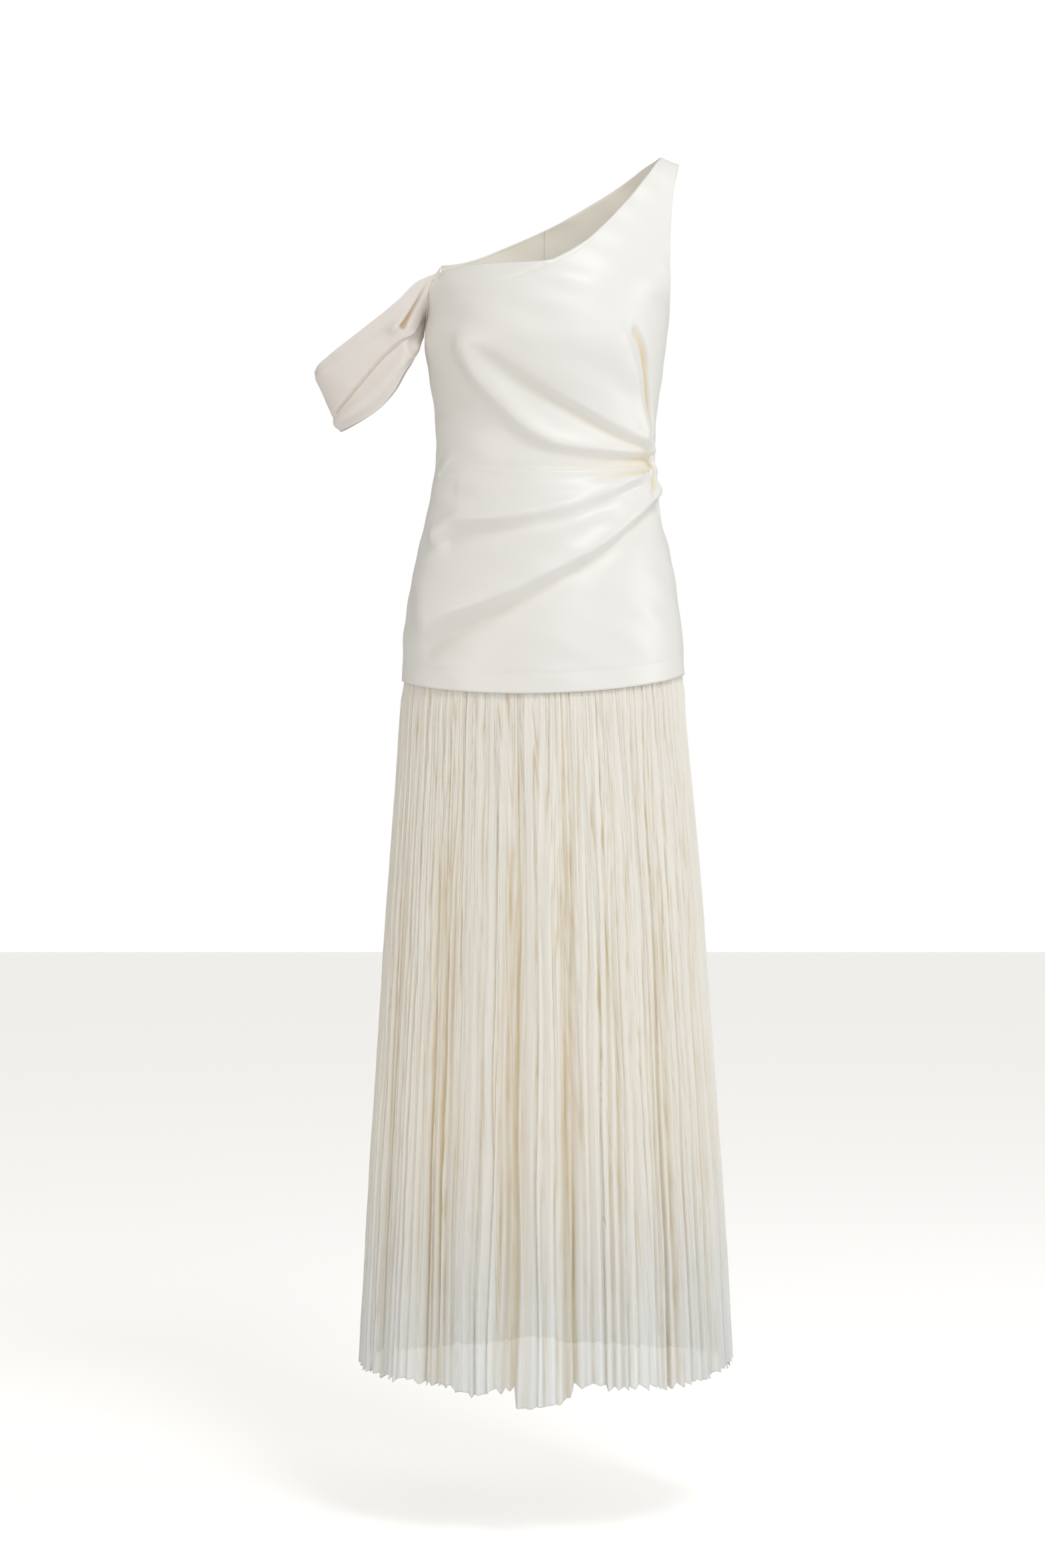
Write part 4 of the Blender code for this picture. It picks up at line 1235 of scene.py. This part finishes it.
class DRESS_OT_stage(bpy.types.Operator):
    """Build the floor, the lights and the camera"""

    bl_idname = "dress.stage"
    bl_label = "Studio"

    def execute(self, context):
        sizes = context.scene.dress_stage
        middle = Vector((sizes.camera_across, 0.0, sizes.camera_height))
        self.floor(sizes, middle)
        self.lights(middle)
        self.world()
        self.camera(sizes)
        return {"FINISHED"}

    def floor(self, sizes, middle):
        maker = bmesh.new()
        bmesh.ops.create_grid(maker, x_segments=1, y_segments=1, size=12.0)
        bmesh.ops.translate(maker, verts=maker.verts, vec=(middle.x, 0.0, sizes.floor_height))
        data = bpy.data.meshes.new("floor")
        maker.to_mesh(data)
        maker.free()
        material = bpy.data.materials.new("pale floor")
        material.use_nodes = True
        tree = material.node_tree
        shader = tree.nodes["Principled BSDF"]
        shader.inputs["Base Color"].default_value = (0.93, 0.93, 0.93, 1.0)
        shader.inputs["Roughness"].default_value = 0.9
        shader.inputs["Emission Color"].default_value = (1.0, 1.0, 1.0, 1.0)
        glow = new_node(tree, "ShaderNodeMath", operation="MULTIPLY")
        glow.inputs[1].default_value = 0.45
        rays = new_node(tree, "ShaderNodeLightPath")
        tree.links.new(rays.outputs["Is Camera Ray"], glow.inputs[0])
        tree.links.new(glow.outputs[0], shader.inputs["Emission Strength"])
        data.materials.append(material)
        floor = bpy.data.objects.new("floor", data)
        bpy.context.scene.collection.objects.link(floor)

    def lights(self, middle):
        area_light("key", middle + Vector((1.0, -1.9, 2.7)), middle, 0.9, 30.0, COOL)
        area_light("front", middle + Vector((1.2, -3.6, 1.0)), middle, 1.2, 13.0, COOL)
        area_light("side", middle + Vector((3.0, -0.6, 0.6)), middle, 1.2, 20.0, COOL)
        area_light("left", middle + Vector((-2.4, -2.6, 0.2)), middle, 1.4, 18.0, WARM)

    def world(self):
        world = bpy.data.worlds.new("studio")
        world.use_nodes = True
        bpy.context.scene.world = world
        tree = world.node_tree
        soft = tree.nodes["Background"]
        soft.inputs["Color"].default_value = (1.0, 0.97, 0.915, 1.0)
        soft.inputs["Strength"].default_value = 0.44
        seen = new_node(tree, "ShaderNodeBackground", Strength=1.0)
        seen.inputs["Color"].default_value = (1.0, 1.0, 1.0, 1.0)
        rays = new_node(tree, "ShaderNodeLightPath")
        mix = new_node(tree, "ShaderNodeMixShader")
        tree.links.new(rays.outputs["Is Camera Ray"], mix.inputs[0])
        tree.links.new(soft.outputs[0], mix.inputs[1])
        tree.links.new(seen.outputs[0], mix.inputs[2])
        tree.links.new(mix.outputs[0], tree.nodes["World Output"].inputs["Surface"])
        bpy.context.scene.view_settings.view_transform = "Standard"

    def camera(self, sizes):
        data = bpy.data.cameras.new("camera")
        data.sensor_width = 36.0
        data.lens = data.sensor_width * sizes.camera_distance / sizes.view_height
        camera = bpy.data.objects.new("camera", data)
        camera.location = (sizes.camera_across, -sizes.camera_distance, sizes.camera_height)
        camera.rotation_euler = (math.pi / 2.0, 0.0, 0.0)
        bpy.context.scene.collection.objects.link(camera)
        bpy.context.scene.camera = camera


class DRESS_PT_panel(bpy.types.Panel):
    """Lists the dress's pieces in the sidebar"""

    bl_label = "Dress"
    bl_space_type = "VIEW_3D"
    bl_region_type = "UI"
    bl_category = "Dress"

    def draw(self, context):
        for operator in PIECES:
            self.layout.operator(operator.bl_idname)


PIECES = (DRESS_OT_bodice, DRESS_OT_sleeve, DRESS_OT_skirt, DRESS_OT_lining, DRESS_OT_stage)
GROUPS = {
    "dress_bodice": BodiceSizes,
    "dress_sleeve": SleeveSizes,
    "dress_skirt": SkirtSizes,
    "dress_colours": ClothColours,
    "dress_stage": StageSizes,
}
CLASSES = (*GROUPS.values(), *PIECES, DRESS_PT_panel)


def register():
    for cls in CLASSES:
        bpy.utils.register_class(cls)
    for name, group in GROUPS.items():
        setattr(bpy.types.Scene, name, PointerProperty(type=group))


def unregister():
    for name in GROUPS:
        delattr(bpy.types.Scene, name)
    for cls in reversed(CLASSES):
        bpy.utils.unregister_class(cls)


def main():
    register()
    bpy.ops.dress.bodice()
    bpy.ops.dress.sleeve()
    bpy.ops.dress.skirt()
    bpy.ops.dress.lining()
    bpy.ops.dress.stage()
    bpy.context.view_layer.update()


if __name__ == "__main__":
    main()
